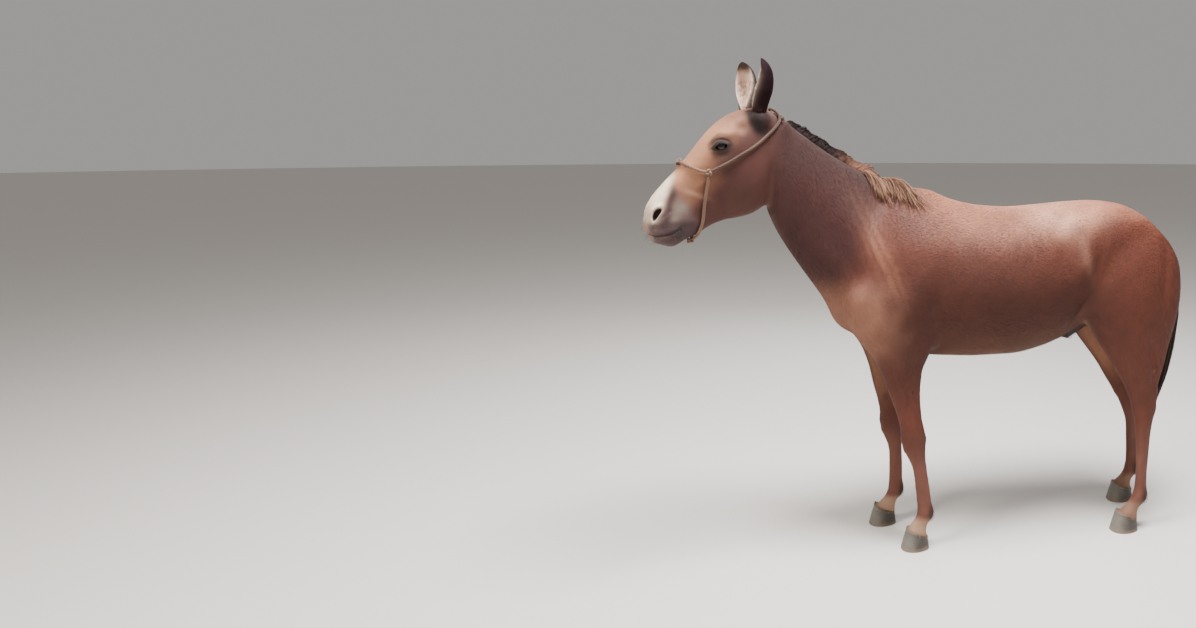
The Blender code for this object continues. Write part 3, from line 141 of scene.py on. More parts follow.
# Of each section: Y and Z of its upper end and of its lower end, and half its width at the heights between.
TRUNK = (
    ((-0.222, 1.12), (-0.205, 0.93), (0.02, 0.04, 0.055, 0.055, 0.045, 0.02)),
    ((-0.185, 1.30), (-0.185, 0.845), (0.045, 0.09, 0.12, 0.125, 0.1, 0.04)),
    ((-0.1, 1.385), (-0.12, 0.79), (0.06, 0.125, 0.165, 0.165, 0.115, 0.045)),
    ((0, 1.412), (0, 0.768), (0.07, 0.15, 0.2, 0.2, 0.13, 0.045)),
    ((0.1, 1.41), (0.1, 0.757), (0.08, 0.17, 0.222, 0.222, 0.14, 0.045)),
    ((0.2, 1.374), (0.2, 0.749), (0.085, 0.185, 0.238, 0.238, 0.165, 0.065)),
    ((0.32, 1.347), (0.32, 0.743), (0.09, 0.198, 0.25, 0.25, 0.188, 0.088)),
    ((0.45, 1.338), (0.45, 0.744), (0.09, 0.205, 0.258, 0.258, 0.203, 0.105)),
    ((0.57, 1.343), (0.57, 0.765), (0.085, 0.196, 0.252, 0.256, 0.206, 0.115)),
    ((0.69, 1.354), (0.69, 0.81), (0.075, 0.175, 0.226, 0.24, 0.204, 0.118)),
    ((0.79, 1.358), (0.79, 0.865), (0.06, 0.14, 0.19, 0.216, 0.197, 0.112)),
    ((0.89, 1.347), (0.89, 0.93), (0.05, 0.11, 0.16, 0.198, 0.18, 0.098)),
    ((0.98, 1.312), (0.98, 0.98), (0.05, 0.1, 0.14, 0.168, 0.15, 0.075)),
    ((1.045, 1.268), (1.05, 1.02), (0.035, 0.07, 0.1, 0.118, 0.1, 0.045)),
    ((1.085, 1.22), (1.09, 1.06), (0.02, 0.04, 0.055, 0.06, 0.05, 0.025)),
)
NECK = (
    ((0.1, 1.385), (0.03, 0.88), (0.05, 0.12, 0.15, 0.13, 0.08, 0.03)),
    ((0.015, 1.428), (-0.12, 0.84), (0.055, 0.125, 0.155, 0.132, 0.074, 0.03)),
    ((-0.07, 1.452), (-0.232, 0.885), (0.055, 0.115, 0.14, 0.118, 0.066, 0.028)),
    ((-0.155, 1.49), (-0.293, 0.985), (0.05, 0.1, 0.118, 0.102, 0.06, 0.026)),
    ((-0.235, 1.534), (-0.357, 1.075), (0.045, 0.088, 0.102, 0.09, 0.056, 0.025)),
    ((-0.31, 1.58), (-0.418, 1.165), (0.042, 0.078, 0.092, 0.082, 0.053, 0.025)),
    ((-0.385, 1.632), (-0.472, 1.255), (0.04, 0.07, 0.085, 0.077, 0.052, 0.026)),
    ((-0.44, 1.672), (-0.507, 1.335), (0.036, 0.06, 0.075, 0.07, 0.05, 0.028)),
)
HEAD = (
    ((-0.43, 1.668), (-0.47, 1.42), (0.03, 0.055, 0.068, 0.064, 0.054, 0.034)),
    ((-0.48, 1.698), (-0.51, 1.365), (0.034, 0.062, 0.08, 0.077, 0.065, 0.042)),
    ((-0.545, 1.706), (-0.562, 1.332), (0.036, 0.068, 0.089, 0.089, 0.077, 0.05)),
    ((-0.612, 1.692), (-0.612, 1.314), (0.034, 0.067, 0.089, 0.097, 0.09, 0.06)),
    ((-0.668, 1.659), (-0.66, 1.303), (0.032, 0.062, 0.083, 0.097, 0.097, 0.066)),
    ((-0.722, 1.606), (-0.702, 1.291), (0.03, 0.054, 0.071, 0.083, 0.083, 0.056)),
    ((-0.778, 1.54), (-0.742, 1.274), (0.028, 0.046, 0.057, 0.065, 0.063, 0.044)),
    ((-0.83, 1.484), (-0.782, 1.253), (0.027, 0.04, 0.048, 0.053, 0.051, 0.037)),
    ((-0.87, 1.443), (-0.812, 1.241), (0.027, 0.04, 0.046, 0.049, 0.047, 0.035)),
    ((-0.901, 1.407), (-0.843, 1.233), (0.03, 0.042, 0.048, 0.051, 0.048, 0.034)),
    ((-0.921, 1.371), (-0.874, 1.237), (0.032, 0.043, 0.049, 0.051, 0.047, 0.032)),
    ((-0.931, 1.338), (-0.905, 1.25), (0.028, 0.038, 0.042, 0.042, 0.037, 0.024)),
    ((-0.934, 1.312), (-0.924, 1.274), (0.012, 0.02, 0.023, 0.022, 0.018, 0.01)),
)
# Of the left legs: height, Y of front and back, distance of inner and outer face from the middle plane, and
# how much slimmer the back is.
FORE_LEG = (
    (1.33, -0.06, 0.06, 0.02, 0.085, 0),
    (1.22, -0.125, 0.1, 0.02, 0.15, 0),
    (1.1, -0.18, 0.125, 0.02, 0.19, 0),
    (1, -0.22, 0.135, 0.02, 0.205, 0),
    (0.92, -0.216, 0.132, 0.025, 0.204, 0),
    (0.85, -0.185, 0.118, 0.04, 0.197, 0.1),
    (0.79, -0.138, 0.098, 0.054, 0.186, 0.1),
    (0.72, -0.1, 0.066, 0.07, 0.177, 0.1),
    (0.63, -0.065, 0.058, 0.082, 0.17, 0.1),
    (0.54, -0.035, 0.064, 0.093, 0.165, 0.1),
    (0.48, -0.022, 0.076, 0.092, 0.168, 0.05),
    (0.43, -0.018, 0.08, 0.093, 0.168, 0.1),
    (0.385, 0, 0.08, 0.1, 0.162, 0.2),
    (0.33, 0.024, 0.086, 0.107, 0.155, 0.15),
    (0.24, 0.036, 0.099, 0.108, 0.154, 0.15),
    (0.185, 0.042, 0.106, 0.107, 0.155, 0.1),
    (0.15, 0.044, 0.115, 0.101, 0.161, 0.1),
    (0.125, 0.038, 0.112, 0.101, 0.161, 0.15),
    (0.1, 0.02, 0.092, 0.105, 0.157, 0.2),
    (0.075, 0.001, 0.083, 0.094, 0.168, 0.05),
    (0.045, -0.008, 0.088, 0.092, 0.17, 0),
)
HIND_LEG = (
    (1.3, 0.74, 0.98, 0.02, 0.15, 0),
    (1.2, 0.7, 1.075, 0.02, 0.205, 0),
    (1.1, 0.69, 1.122, 0.02, 0.232, 0.1),
    (1, 0.692, 1.13, 0.022, 0.243, 0.15),
    (0.92, 0.712, 1.122, 0.035, 0.24, 0.15),
    (0.84, 0.752, 1.104, 0.055, 0.228, 0.2),
    (0.76, 0.808, 1.085, 0.075, 0.212, 0.25),
    (0.68, 0.862, 1.066, 0.093, 0.2, 0.3),
    (0.61, 0.902, 1.05, 0.107, 0.19, 0.45),
    (0.56, 0.924, 1.047, 0.113, 0.187, 0.5),
    (0.52, 0.936, 1.048, 0.113, 0.188, 0.45),
    (0.47, 0.95, 1.034, 0.115, 0.186, 0.35),
    (0.41, 0.958, 1.026, 0.122, 0.18, 0.2),
    (0.33, 0.965, 1.023, 0.127, 0.175, 0.15),
    (0.24, 0.967, 1.02, 0.128, 0.174, 0.15),
    (0.185, 0.966, 1.021, 0.127, 0.175, 0.1),
    (0.15, 0.96, 1.026, 0.121, 0.181, 0.1),
    (0.125, 0.95, 1.022, 0.121, 0.181, 0.15),
    (0.1, 0.925, 0.997, 0.125, 0.177, 0.2),
    (0.075, 0.9, 0.982, 0.114, 0.188, 0.05),
    (0.045, 0.888, 0.985, 0.112, 0.19, 0),
)
# How far the right legs stand from the left ones along Y, at heights.
RIGHT_FORE_SHIFT = (
    (0.86, 0), (0.7, -0.012), (0.6, -0.025), (0.45, -0.033), (0.3, -0.045), (0.16, -0.062), (0, -0.078),
)
RIGHT_HIND_SHIFT = (
    (1, 0), (0.8, 0.01), (0.66, 0.028), (0.58, 0.038), (0.5, 0.066), (0.43, 0.088), (0.37, 0.103),
    (0.28, 0.106), (0.17, 0.112), (0, 0.128),
)
# Middle and radius of each section of a round form.
DOCK = (
    ((0, 1.0, 1.24), 0.034),
    ((0, 1.055, 1.218), 0.034),
    ((0, 1.095, 1.175), 0.033),
    ((0, 1.122, 1.12), 0.03),
    ((0, 1.137, 1.05), 0.026),
    ((0, 1.143, 0.97), 0.02),
    ((0, 1.144, 0.91), 0.012),
)
SHEATH = (
    ((0, 0.82, 0.9), 0.03),
    ((0, 0.77, 0.868), 0.032),
    ((0, 0.725, 0.835), 0.027),
    ((0, 0.7, 0.808), 0.02),
    ((0, 0.69, 0.792), 0.014),
)
# Mounds and hollows of the left side: middle, reach along X, Y and Z, height, and lean about X in degrees.
BODY_FORMS = (
    ("shoulder blade ridge", (0.17, -0.13, 1.2), (0.1, 0.024, 0.15), 0.007, -20),
    ("hollow before the shoulder", (0.13, -0.225, 1.17), (0.1, 0.035, 0.17), -0.006, -25),
    ("point of the shoulder", (0.13, -0.2, 1.0), (0.1, 0.05, 0.06), 0.006, 0),
    ("triceps", (0.21, 0.0, 1.02), (0.1, 0.075, 0.09), 0.012, 30),
    ("hollow behind the shoulder", (0.22, 0.12, 1.06), (0.1, 0.05, 0.15), -0.009, 12),
    ("hollow behind the elbow", (0.2, 0.15, 0.85), (0.1, 0.04, 0.05), -0.008, 0),
    ("breast", (0.06, -0.235, 0.94), (0.06, 0.08, 0.08), 0.014, 0),
    ("furrow of the breast", (0.0, -0.24, 0.92), (0.018, 0.1, 0.08), -0.014, 0),
    ("throat channel", (0.05, -0.33, 1.12), (0.06, 0.03, 0.14), -0.006, -36),
    ("withers", (0.0, 0.06, 1.42), (0.035, 0.1, 0.05), 0.008, 0),
    ("loin", (0.1, 0.58, 1.32), (0.07, 0.12, 0.05), 0.006, 0),
    ("point of the hip", (0.2, 0.655, 1.285), (0.08, 0.04, 0.035), 0.014, 0),
    ("flank hollow", (0.22, 0.6, 1.17), (0.1, 0.06, 0.07), -0.014, 0),
    ("fold under the hip", (0.22, 0.672, 1.15), (0.1, 0.022, 0.085), 0.006, 15),
    ("hollow before the thigh", (0.22, 0.724, 1.12), (0.1, 0.022, 0.085), -0.005, 15),
    ("croup muscle", (0.14, 0.84, 1.3), (0.08, 0.1, 0.08), 0.006, 0),
    ("seam of the thigh", (0.2, 1.02, 1.05), (0.1, 0.026, 0.17), -0.006, 6),
    ("front of the thigh", (0.23, 0.77, 1.05), (0.1, 0.05, 0.1), 0.008, 18),
    ("stifle", (0.22, 0.735, 0.925), (0.1, 0.04, 0.04), 0.011, 0),
    ("flank fold", (0.18, 0.68, 0.93), (0.08, 0.02, 0.06), -0.01, 20),
    ("gaskin", (0.19, 0.93, 0.76), (0.05, 0.04, 0.07), 0.006, -20),
    ("forearm", (0.17, -0.05, 0.7), (0.04, 0.035, 0.08), 0.006, 0),
)
HEAD_FORMS = (
    ("cheek", (0.085, -0.59, 1.43), (0.06, 0.07, 0.075), 0.009, 0),
    ("edge before the cheek", (0.07, -0.69, 1.38), (0.05, 0.018, 0.08), -0.006, -25),
    ("hollow behind the cheek", (0.08, -0.5, 1.47), (0.05, 0.022, 0.1), -0.01, 12),
    ("facial crest", (0.075, -0.735, 1.462), (0.04, 0.06, 0.014), 0.0065, -40),
    ("brow", (0.085, -0.665, 1.612), (0.04, 0.036, 0.016), 0.01, -18),
    ("rim of the eye", (0.09, -0.684, 1.572), (0.05, 0.036, 0.028), 0.006, -20),
    ("hollow over the eye", (0.08, -0.618, 1.632), (0.04, 0.022, 0.018), -0.011, -30),
    ("hollow under the eye", (0.09, -0.7, 1.53), (0.04, 0.03, 0.02), -0.005, -30),
    ("root of the ear", (0.064, -0.545, 1.672), (0.034, 0.034, 0.036), 0.013, 0),
    ("side of the nose", (0.045, -0.82, 1.4), (0.04, 0.045, 0.03), -0.005, -40),
    ("wing of the nostril", (0.045, -0.895, 1.35), (0.035, 0.024, 0.03), 0.0085, -25),
    ("upper lip", (0.028, -0.925, 1.3), (0.03, 0.03, 0.02), 0.006, 0),
    ("corner of the mouth", (0.045, -0.845, 1.29), (0.03, 0.02, 0.018), 0.004, 0),
    ("lower lip", (0.0, -0.9, 1.245), (0.035, 0.025, 0.018), 0.004, 0),
    ("chin", (0.0, -0.85, 1.232), (0.03, 0.022, 0.02), 0.006, 0),
    ("chin groove", (0.0, -0.79, 1.25), (0.05, 0.02, 0.02), -0.005, 0),
    ("hollow between the jaws", (0.0, -0.66, 1.3), (0.022, 0.09, 0.03), -0.016, 0),
)


def along(knots, values, at):
    """Values read at places between knots by monotone cubic pieces, which never overshoot a knot."""
    knots = np.asarray(knots, float)
    values = np.asarray(values, float)
    if knots[0] > knots[-1]:
        knots, values = knots[::-1], values[::-1]
    flat = values.reshape(len(knots), -1)
    step = np.diff(knots)[:, None]
    rise = np.diff(flat, axis=0) / step
    slope = np.zeros_like(flat)
    same = rise[1:] * rise[:-1] > 0
    before, after = step[:-1], step[1:]
    weight = 2 * after + before
    other = after + 2 * before
    safe_left = np.where(same, rise[:-1], 1)
    safe_right = np.where(same, rise[1:], 1)
    slope[1:-1] = np.where(same, (weight + other) / (weight / safe_left + other / safe_right), 0)
    slope[0], slope[-1] = rise[0], rise[-1]
    at = np.clip(np.asarray(at, float), knots[0], knots[-1])
    i = np.clip(np.searchsorted(knots, at, side="right") - 1, 0, len(knots) - 2)
    width = (knots[i + 1] - knots[i])[:, None]
    t = ((at - knots[i])[:, None]) / width
    low, high = flat[i], flat[i + 1]
    hermite = (2 * t**3 - 3 * t**2 + 1) * low + (t**3 - 2 * t**2 + t) * width * slope[i]
    hermite += (3 * t**2 - 2 * t**3) * high + (t**3 - t**2) * width * slope[i + 1]
    return hermite.reshape((len(at), *values.shape[1:]))


def rounded(controls, per_span):
    """Rings of points on the closed Catmull-Rom curve through each row of controls."""
    t = np.linspace(0, 1, per_span, endpoint=False)[:, None, None]
    p0, p1 = np.roll(controls, 1, axis=1), controls
    p2, p3 = np.roll(controls, -1, axis=1), np.roll(controls, -2, axis=1)
    t = t[:, None]
    spans = 0.5 * (
        2 * p1 + (p2 - p0) * t + (2 * p0 - 5 * p1 + 4 * p2 - p3) * t**2 + (3 * p1 - p0 - 3 * p2 + p3) * t**3
    )
    rows, count = controls.shape[:2]
    return np.moveaxis(spans, 0, 2).reshape(rows, count * per_span, 3)


def section_rings(stations, steps, middle_x, yaw):
    """Rings of a form given by its upper line, lower line and half-widths at the section heights."""
    table = np.array([[*top, *bottom, *widths] for top, bottom, widths in stations])
    mid = (table[:, 0:2] + table[:, 2:4]) / 2
    reach = np.concatenate([[0], np.cumsum(np.hypot(*np.diff(mid, axis=0).T))])
    rows = along(reach, table, np.linspace(0, reach[-1], steps))
    top, bottom = rows[:, None, 0:2], rows[:, None, 2:4]
    heights = np.array(SECTION_HEIGHTS)[None, :, None]
    spine = bottom + (top - bottom) * heights
    widths = np.zeros((steps, len(SECTION_HEIGHTS)))
    widths[:, 1:-1] = rows[:, 4:]
    turn = yaw(rows[:, 0])[:, None]
    centre = middle_x(spine[:, :, 0])

    def side(sign):
        across = sign * widths
        y = spine[:, :, 0] + across * np.sin(turn)
        return np.stack([centre + across * np.cos(turn), y, spine[:, :, 1]], -1)

    controls = np.concatenate([side(1), side(-1)[:, -2:0:-1]], axis=1)
    return rounded(controls, 4)


def bend_x(y):
    """How far to the left the middle plane lies: none to the shoulders, a bend in the neck, then straight."""
    y = np.asarray(y, float)
    t = np.clip((BEND_START - y) / (BEND_START - POLL_Y), 0, None)
    eased = POLL_X * t**2 * (1.6 - 0.6 * np.clip(t, 0, 1))
    straight = POLL_X + (POLL_Y - y) * math.tan(HEAD_YAW)
    return np.where(y < POLL_Y, straight, eased)


def bend_yaw(y):
    """The turn to the left, which grows evenly from none at the shoulders to the head's at the poll."""
    return HEAD_YAW * np.clip((BEND_START - np.asarray(y, float)) / (BEND_START - POLL_Y), 0, 1)


def shift_at(table, side, z):
    """How far a leg stands along Y from where the left one stands, at heights."""
    if side > 0:
        return np.zeros_like(np.asarray(z, float))
    knots, shifts = zip(*table)
    return along(knots, shifts, np.atleast_1d(z))


def squarer(wave, fullness):
    """A sine or cosine raised to a power under 1, which squares the oval that it draws."""
    return np.sign(wave) * np.abs(wave) ** fullness


def leg_rings(stations, shifts, side, steps=90, count=28):
    """Rings of a leg: round a section the front is at the angle 0 and the outer side at a quarter turn."""
    table = np.array(stations)
    z = np.linspace(table[0, 0], table[-1, 0], steps)
    front, back, inner, outer, pinch = along(table[:, 0], table[:, 1:], z).T[:, :, None]
    t = np.linspace(0, 2 * math.pi, count, endpoint=False)[None]
    forward, outward = squarer(np.cos(t), LEG_FULLNESS), squarer(np.sin(t), LEG_FULLNESS)
    narrow = 1 - pinch * np.clip(-forward, 0, 1)
    y = (front + back) / 2 - (back - front) / 2 * forward + shift_at(shifts, side, z)[:, None]
    x = (inner + outer) / 2 + (outer - inner) / 2 * outward * narrow
    return np.stack([side * x, y, np.broadcast_to(z[:, None], x.shape)], axis=-1)


def way_along(points):
    """The distance along a path at each of its points."""
    return np.concatenate([[0], np.cumsum(np.linalg.norm(np.diff(points, axis=0), axis=1))])


def tube_rings(stations, steps=24, count=16):
    """Rings of a round limb whose middle line runs through points, each with its radius."""
    points = np.array([p for p, _ in stations])
    radii = np.array([r for _, r in stations])
    reach = way_along(points)
    at = np.linspace(0, reach[-1], steps)
    centre = along(reach, points, at)
    radius = along(reach, radii, at)[:, None, None]
    tangent = unit(np.gradient(centre, axis=0))
    side = unit(np.cross(tangent, (0.3, 0, 1)))
    other = np.cross(tangent, side)
    t = np.linspace(0, 2 * math.pi, count, endpoint=False)[None, :, None]
    return centre[:, None] + radius * (np.cos(t) * side[:, None] + np.sin(t) * other[:, None])


def head_side(points):
    """Points as (distance from the head's middle plane, Y in that plane, Z)."""
    away = (points[:, 0] - POLL_X) * math.cos(HEAD_YAW) + (points[:, 1] - POLL_Y) * math.sin(HEAD_YAW)
    return np.stack([away, points[:, 1] - away * math.sin(HEAD_YAW), points[:, 2]], axis=1)


def in_head(side, y, z):
    """The point that lies side to the left of the head's middle plane, over Y = y there, at height z."""
    return np.array([bend_x(y) + side * math.cos(HEAD_YAW), y + side * math.sin(HEAD_YAW), z])


def raised(points, forms):
    """How far each point moves out of the skin: a sum of bell shapes on the left, mirrored to the right."""
    points = points.copy()
    points[:, 0] = np.abs(points[:, 0])
    total = np.zeros(len(points))
    for _, middle, reach, height, lean in forms:
        x, y, z = (points - middle).T
        turn = math.radians(lean)
        across = y * math.cos(turn) - z * math.sin(turn)
        length = y * math.sin(turn) + z * math.cos(turn)
        total += height * np.exp(-((x / reach[0]) ** 2 + (across / reach[1]) ** 2 + (length / reach[2]) ** 2))
    return total


def relaxed(points, edges, weights, rounds):
    """Points drawn half way to the mean of their neighbours, times their weight, this many times."""
    number = np.bincount(edges.ravel(), minlength=len(points))[:, None]
    for _ in range(rounds):
        total = np.stack(
            [
                np.bincount(edges[:, 0], points[edges[:, 1], axis], len(points))
                + np.bincount(edges[:, 1], points[edges[:, 0], axis], len(points))
                for axis in range(3)
            ],
            axis=1,
        )
        points = points + 0.5 * weights[:, None] * (total / number - points)
    return points


def smooth_step(values, low, high):
    """From 0 at low to 1 at high: three times the square of the way between less twice its cube."""
    t = np.clip((values - low) / (high - low), 0, 1)
    return t * t * (3 - 2 * t)


def unit(vectors):
    """Vectors divided by their length."""
    vectors = np.asarray(vectors, float)
    return vectors / np.linalg.norm(vectors, axis=-1, keepdims=True)


def quads_of(rows, count, closed=True, first=0):
    """Corner numbers of the squares between neighbouring points of a grid, row by row."""
    index = first + np.arange(rows * count).reshape(rows, count)
    near = index if closed else index[:, :-1]
    far = np.roll(index, -1, axis=1) if closed else index[:, 1:]
    return np.stack([near[:-1], far[:-1], far[1:], near[1:]], axis=-1).reshape(-1, 4)


def fans_of(rows, count, first=0):
    """Triangles that close both ends of a tube of rings; the two middle points follow the grid's."""
    index = first + np.arange(rows * count).reshape(rows, count)
    middle = first + rows * count
    start = np.stack([np.full(count, middle), np.roll(index[0], -1), index[0]], axis=-1)
    end = np.stack([np.full(count, middle + 1), index[-1], np.roll(index[-1], -1)], axis=-1)
    return np.concatenate([start, end])


def mesh_of(name, points, *faces):
    """A mesh from an array of points and arrays of squares or triangles."""
    mesh = bpy.data.meshes.new(name)
    sizes = np.concatenate([np.full(len(f), f.shape[1]) for f in faces])
    corners = np.concatenate([f.ravel() for f in faces]).astype(np.int32)
    mesh.vertices.add(len(points))
    mesh.vertices.foreach_set("co", np.asarray(points, np.float32).ravel())
    mesh.loops.add(len(corners))
    mesh.loops.foreach_set("vertex_index", corners)
    mesh.polygons.add(len(sizes))
    mesh.polygons.foreach_set("loop_start", (np.cumsum(sizes) - sizes).astype(np.int32))
    mesh.polygons.foreach_set("loop_total", sizes.astype(np.int32))
    mesh.update(calc_edges=True)
    return mesh


def turned_out(mesh):
    shape = bmesh.new()
    shape.from_mesh(mesh)
    bmesh.ops.recalc_face_normals(shape, faces=shape.faces)
    shape.to_mesh(mesh)
    shape.free()
    return mesh


def closed_loft(rings):
    """Points and faces of a closed tube over rings of equal length, with a fan over each end."""
    rows, count = rings.shape[:2]
    points = np.concatenate([rings.reshape(-1, 3), rings[:1].mean(1), rings[-1:].mean(1)])
    return points, quads_of(rows, count), fans_of(rows, count)


def joined(lofts):
    """Many tubes as one list of points, of squares and of triangles."""
    starts = np.cumsum([0] + [len(points) for points, _, _ in lofts])
    return (
        np.concatenate([points for points, _, _ in lofts]),
        np.concatenate([quads + start for (_, quads, _), start in zip(lofts, starts)]),
        np.concatenate([fans + start for (_, _, fans), start in zip(lofts, starts)]),
    )


def numbers(mesh, collection, name, width, kind=np.float32):
    """One property of all items of a mesh's collection, as rows of this width."""
    items = getattr(mesh, collection)
    values = np.empty(len(items) * width, kind)
    items.foreach_get(name, values)
    return values.reshape(-1, width) if width > 1 else values


def places_of(mesh):
    return numbers(mesh, "vertices", "co", 3).astype(float)


def normals_of(mesh):
    return numbers(mesh, "vertices", "normal", 3).astype(float)


def edges_of(mesh):
    return numbers(mesh, "edges", "vertices", 2, np.int32)


def corners_of(mesh):
    """The vertex at each corner of each face."""
    return numbers(mesh, "loops", "vertex_index", 1, np.int32)


def place(mesh, points):
    mesh.vertices.foreach_set("co", np.asarray(points, np.float32).ravel())
    mesh.update()


def with_modifier(mesh, kind, group=None, **values):
    """The mesh as a modifier leaves it; group gives each vertex a weight."""
    holder = bpy.data.objects.new("holder", mesh)
    bpy.context.scene.collection.objects.link(holder)
    modifier = holder.modifiers.new(kind, kind)
    for key, value in values.items():
        setattr(modifier, key, value)
    if group is not None:
        weights = holder.vertex_groups.new(name="weights")
        for level in range(11):
            chosen = np.flatnonzero(np.round(group * 10) == level)
            weights.add(chosen.tolist(), level / 10, "REPLACE")
        modifier.vertex_group = "weights"
    graph = bpy.context.evaluated_depsgraph_get()
    made = bpy.data.meshes.new_from_object(holder.evaluated_get(graph))
    bpy.data.objects.remove(holder)
    return made


def ball(middle, radii):
    """A closed ball with three radii: a turn of half a circle about the upright line."""
    height = np.linspace(0.08, math.pi - 0.08, 14)[:, None]
    turn = np.linspace(0, 2 * math.pi, 24, endpoint=False)[None]
    ones = np.ones_like(turn)
    low, high = np.sin(height), np.cos(height)
    rings = np.stack([low * np.cos(turn), low * np.sin(turn), high * ones], -1)
    return closed_loft(np.asarray(middle) + rings * radii)


def grown_together():
    """Barrel, neck, head, legs, ear roots, dock and sheath fused into one closed surface of even squares."""
    straight = [lambda y: 0 * y] * 2
    lofts = [
        closed_loft(section_rings(TRUNK, 70, *straight)),
        closed_loft(section_rings(NECK, 50, bend_x, bend_yaw)),
        closed_loft(section_rings(HEAD, 60, bend_x, bend_yaw)),
        closed_loft(tube_rings(DOCK[:4])),
        closed_loft(tube_rings([(p, r + SHEATH_SKIN) for p, r in SHEATH])),
    ]
    for side in (1, -1):
        lofts.append(closed_loft(leg_rings(FORE_LEG, RIGHT_FORE_SHIFT, side)))
        lofts.append(closed_loft(leg_rings(HIND_LEG, RIGHT_HIND_SHIFT, side)))
        lofts.append(ball(in_head(side * EAR_ROOT[0], *EAR_ROOT[1:]), (0.036, 0.038, 0.036)))
    mesh = turned_out(mesh_of("lofts", *joined(lofts)))
    return with_modifier(mesh, "REMESH", mode="VOXEL", voxel_size=VOXEL)


CHESTNUT = (0.085, -0.01, 0.56)  # the callus within each foreleg
# Joints, tendons and grooves of the left legs, in the same columns.
LEG_FORMS = (
    ("knee", (0.131, -0.022, 0.458), (0.03, 0.02, 0.022), 0.0045, 0),
    ("knee, lower bones", (0.131, -0.012, 0.405), (0.03, 0.02, 0.014), 0.003, 0),
    ("bone behind the knee", (0.131, 0.088, 0.455), (0.022, 0.02, 0.02), 0.006, 0),
    ("groove of the forearm", (0.168, 0.0, 0.62), (0.02, 0.011, 0.09), -0.005, 0),
    ("groove before the fore tendon", (0.156, 0.073, 0.27), (0.013, 0.009, 0.1), -0.0045, 0),
    ("groove within the fore tendon", (0.106, 0.073, 0.27), (0.013, 0.009, 0.1), -0.0045, 0),
    ("outer fore fetlock", (0.16, 0.077, 0.152), (0.014, 0.02, 0.018), 0.003, 0),
    ("inner fore fetlock", (0.102, 0.077, 0.152), (0.014, 0.02, 0.018), 0.003, 0),
    ("chestnut", CHESTNUT, (0.012, 0.011, 0.02), 0.003, 0),
    ("point of the hock", (0.15, 1.05, 0.58), (0.016, 0.016, 0.022), 0.006, 0),
    ("outer groove over the hock", (0.186, 1.015, 0.62), (0.018, 0.011, 0.07), -0.0065, -8),
    ("inner groove over the hock", (0.112, 1.015, 0.62), (0.018, 0.011, 0.07), -0.0065, -8),
    ("front of the hock", (0.15, 0.94, 0.5), (0.03, 0.02, 0.022), 0.0035, 0),
    ("groove before the hind tendon", (0.175, 0.998, 0.3), (0.013, 0.009, 0.11), -0.0045, 0),
    ("groove within the hind tendon", (0.125, 0.998, 0.3), (0.013, 0.009, 0.11), -0.0045, 0),
    ("outer hind fetlock", (0.18, 0.992, 0.152), (0.014, 0.02, 0.018), 0.003, 0),
    ("groove of the gaskin", (0.2, 0.99, 0.74), (0.03, 0.013, 0.09), -0.006, -14),
)


def as_left_legs(points):
    """Points, those of the right legs moved along Y to where the left legs have them."""
    x, y, z = points.T
    shift = np.where(y < 0.4, shift_at(RIGHT_FORE_SHIFT, -1, z), shift_at(RIGHT_HIND_SHIFT, -1, z))
    return points - np.where(x < 0, shift, 0)[:, None] * (0, 1, 0)


def formed(mesh):
    """Smoothed, most on the trunk, then raised along the skin's direction by the muscles' bell shapes."""
    edges = edges_of(mesh)
    points = places_of(mesh)
    everywhere = np.ones(len(points))
    on_trunk = smooth_step(points[:, 2], 0.7, 0.85) * smooth_step(points[:, 1], -0.6, -0.45)
    points = relaxed(points, edges, everywhere, 6)
    points = relaxed(points, edges, on_trunk, 60)
    place(mesh, points)
    normals = normals_of(mesh)
    head = smooth_step(-points[:, 1], 0.46, 0.5)
    body = raised(points, BODY_FORMS) + raised(as_left_legs(points), LEG_FORMS)
    moved = (1 - head) * body + head * raised(head_side(points), HEAD_FORMS)
    points = relaxed(points + normals * moved[:, None], edges, everywhere, 2)
    place(mesh, points)
    return mesh


hide = formed(grown_together())


# Lids, nostrils and lips, worked into the hide. The lids are folds of skin drawn over the ball of the eye,
# the nostrils soft-rimmed pits that lean back, and the lips meet in a line from the muzzle to its corners.

EYE_MIDDLE = (0.0785, -0.684, 1.572)
EYE_RADIUS = 0.0205
LID_REACH = (0.0233, 0.034, 0.027)  # along the gaze, to the corners and up
LID_HALF_LENGTH, LID_UPPER, LID_LOWER = 0.0198, 0.0112, 0.0085
GAZE_FORWARD, GAZE_DOWN, LID_SLANT = math.radians(18), math.radians(4), math.radians(12)
NOSTRIL_MIDDLE = (0.052, -0.903, 1.348)
NOSTRIL_HALF_WIDTH, NOSTRIL_HALF_HEIGHT, NOSTRIL_DEPTH = 0.0102, 0.0265, 0.02
NOSTRIL_LEAN = math.radians(34)
MOUTH_LINE = (
    (-0.95, 1.281), (-0.93, 1.279), (-0.905, 1.273), (-0.876, 1.273), (-0.85, 1.279), (-0.826, 1.289),
)
FINE_HEAD, FINE_BODY = 0.1, 0.9  # how freely each is thinned
THINNED_SHARE = 0.34  # of the triangles that are left


def eye_axes(side):
    """The eye's middle and three directions: its gaze, towards its front corner, and up across the lids."""
    gaze = side * SIDEWAYS * math.cos(GAZE_FORWARD) + FORWARD * math.sin(GAZE_FORWARD)
    gaze = unit(gaze - np.array([0, 0, math.sin(GAZE_DOWN)]))
    front = FORWARD - np.array([0, 0, math.sin(LID_SLANT)])
    front = unit(front - gaze * (front @ gaze))
    up = np.cross(gaze, front)
    return in_head(side * EYE_MIDDLE[0], *EYE_MIDDLE[1:]), gaze, front, up * np.sign(up[2])


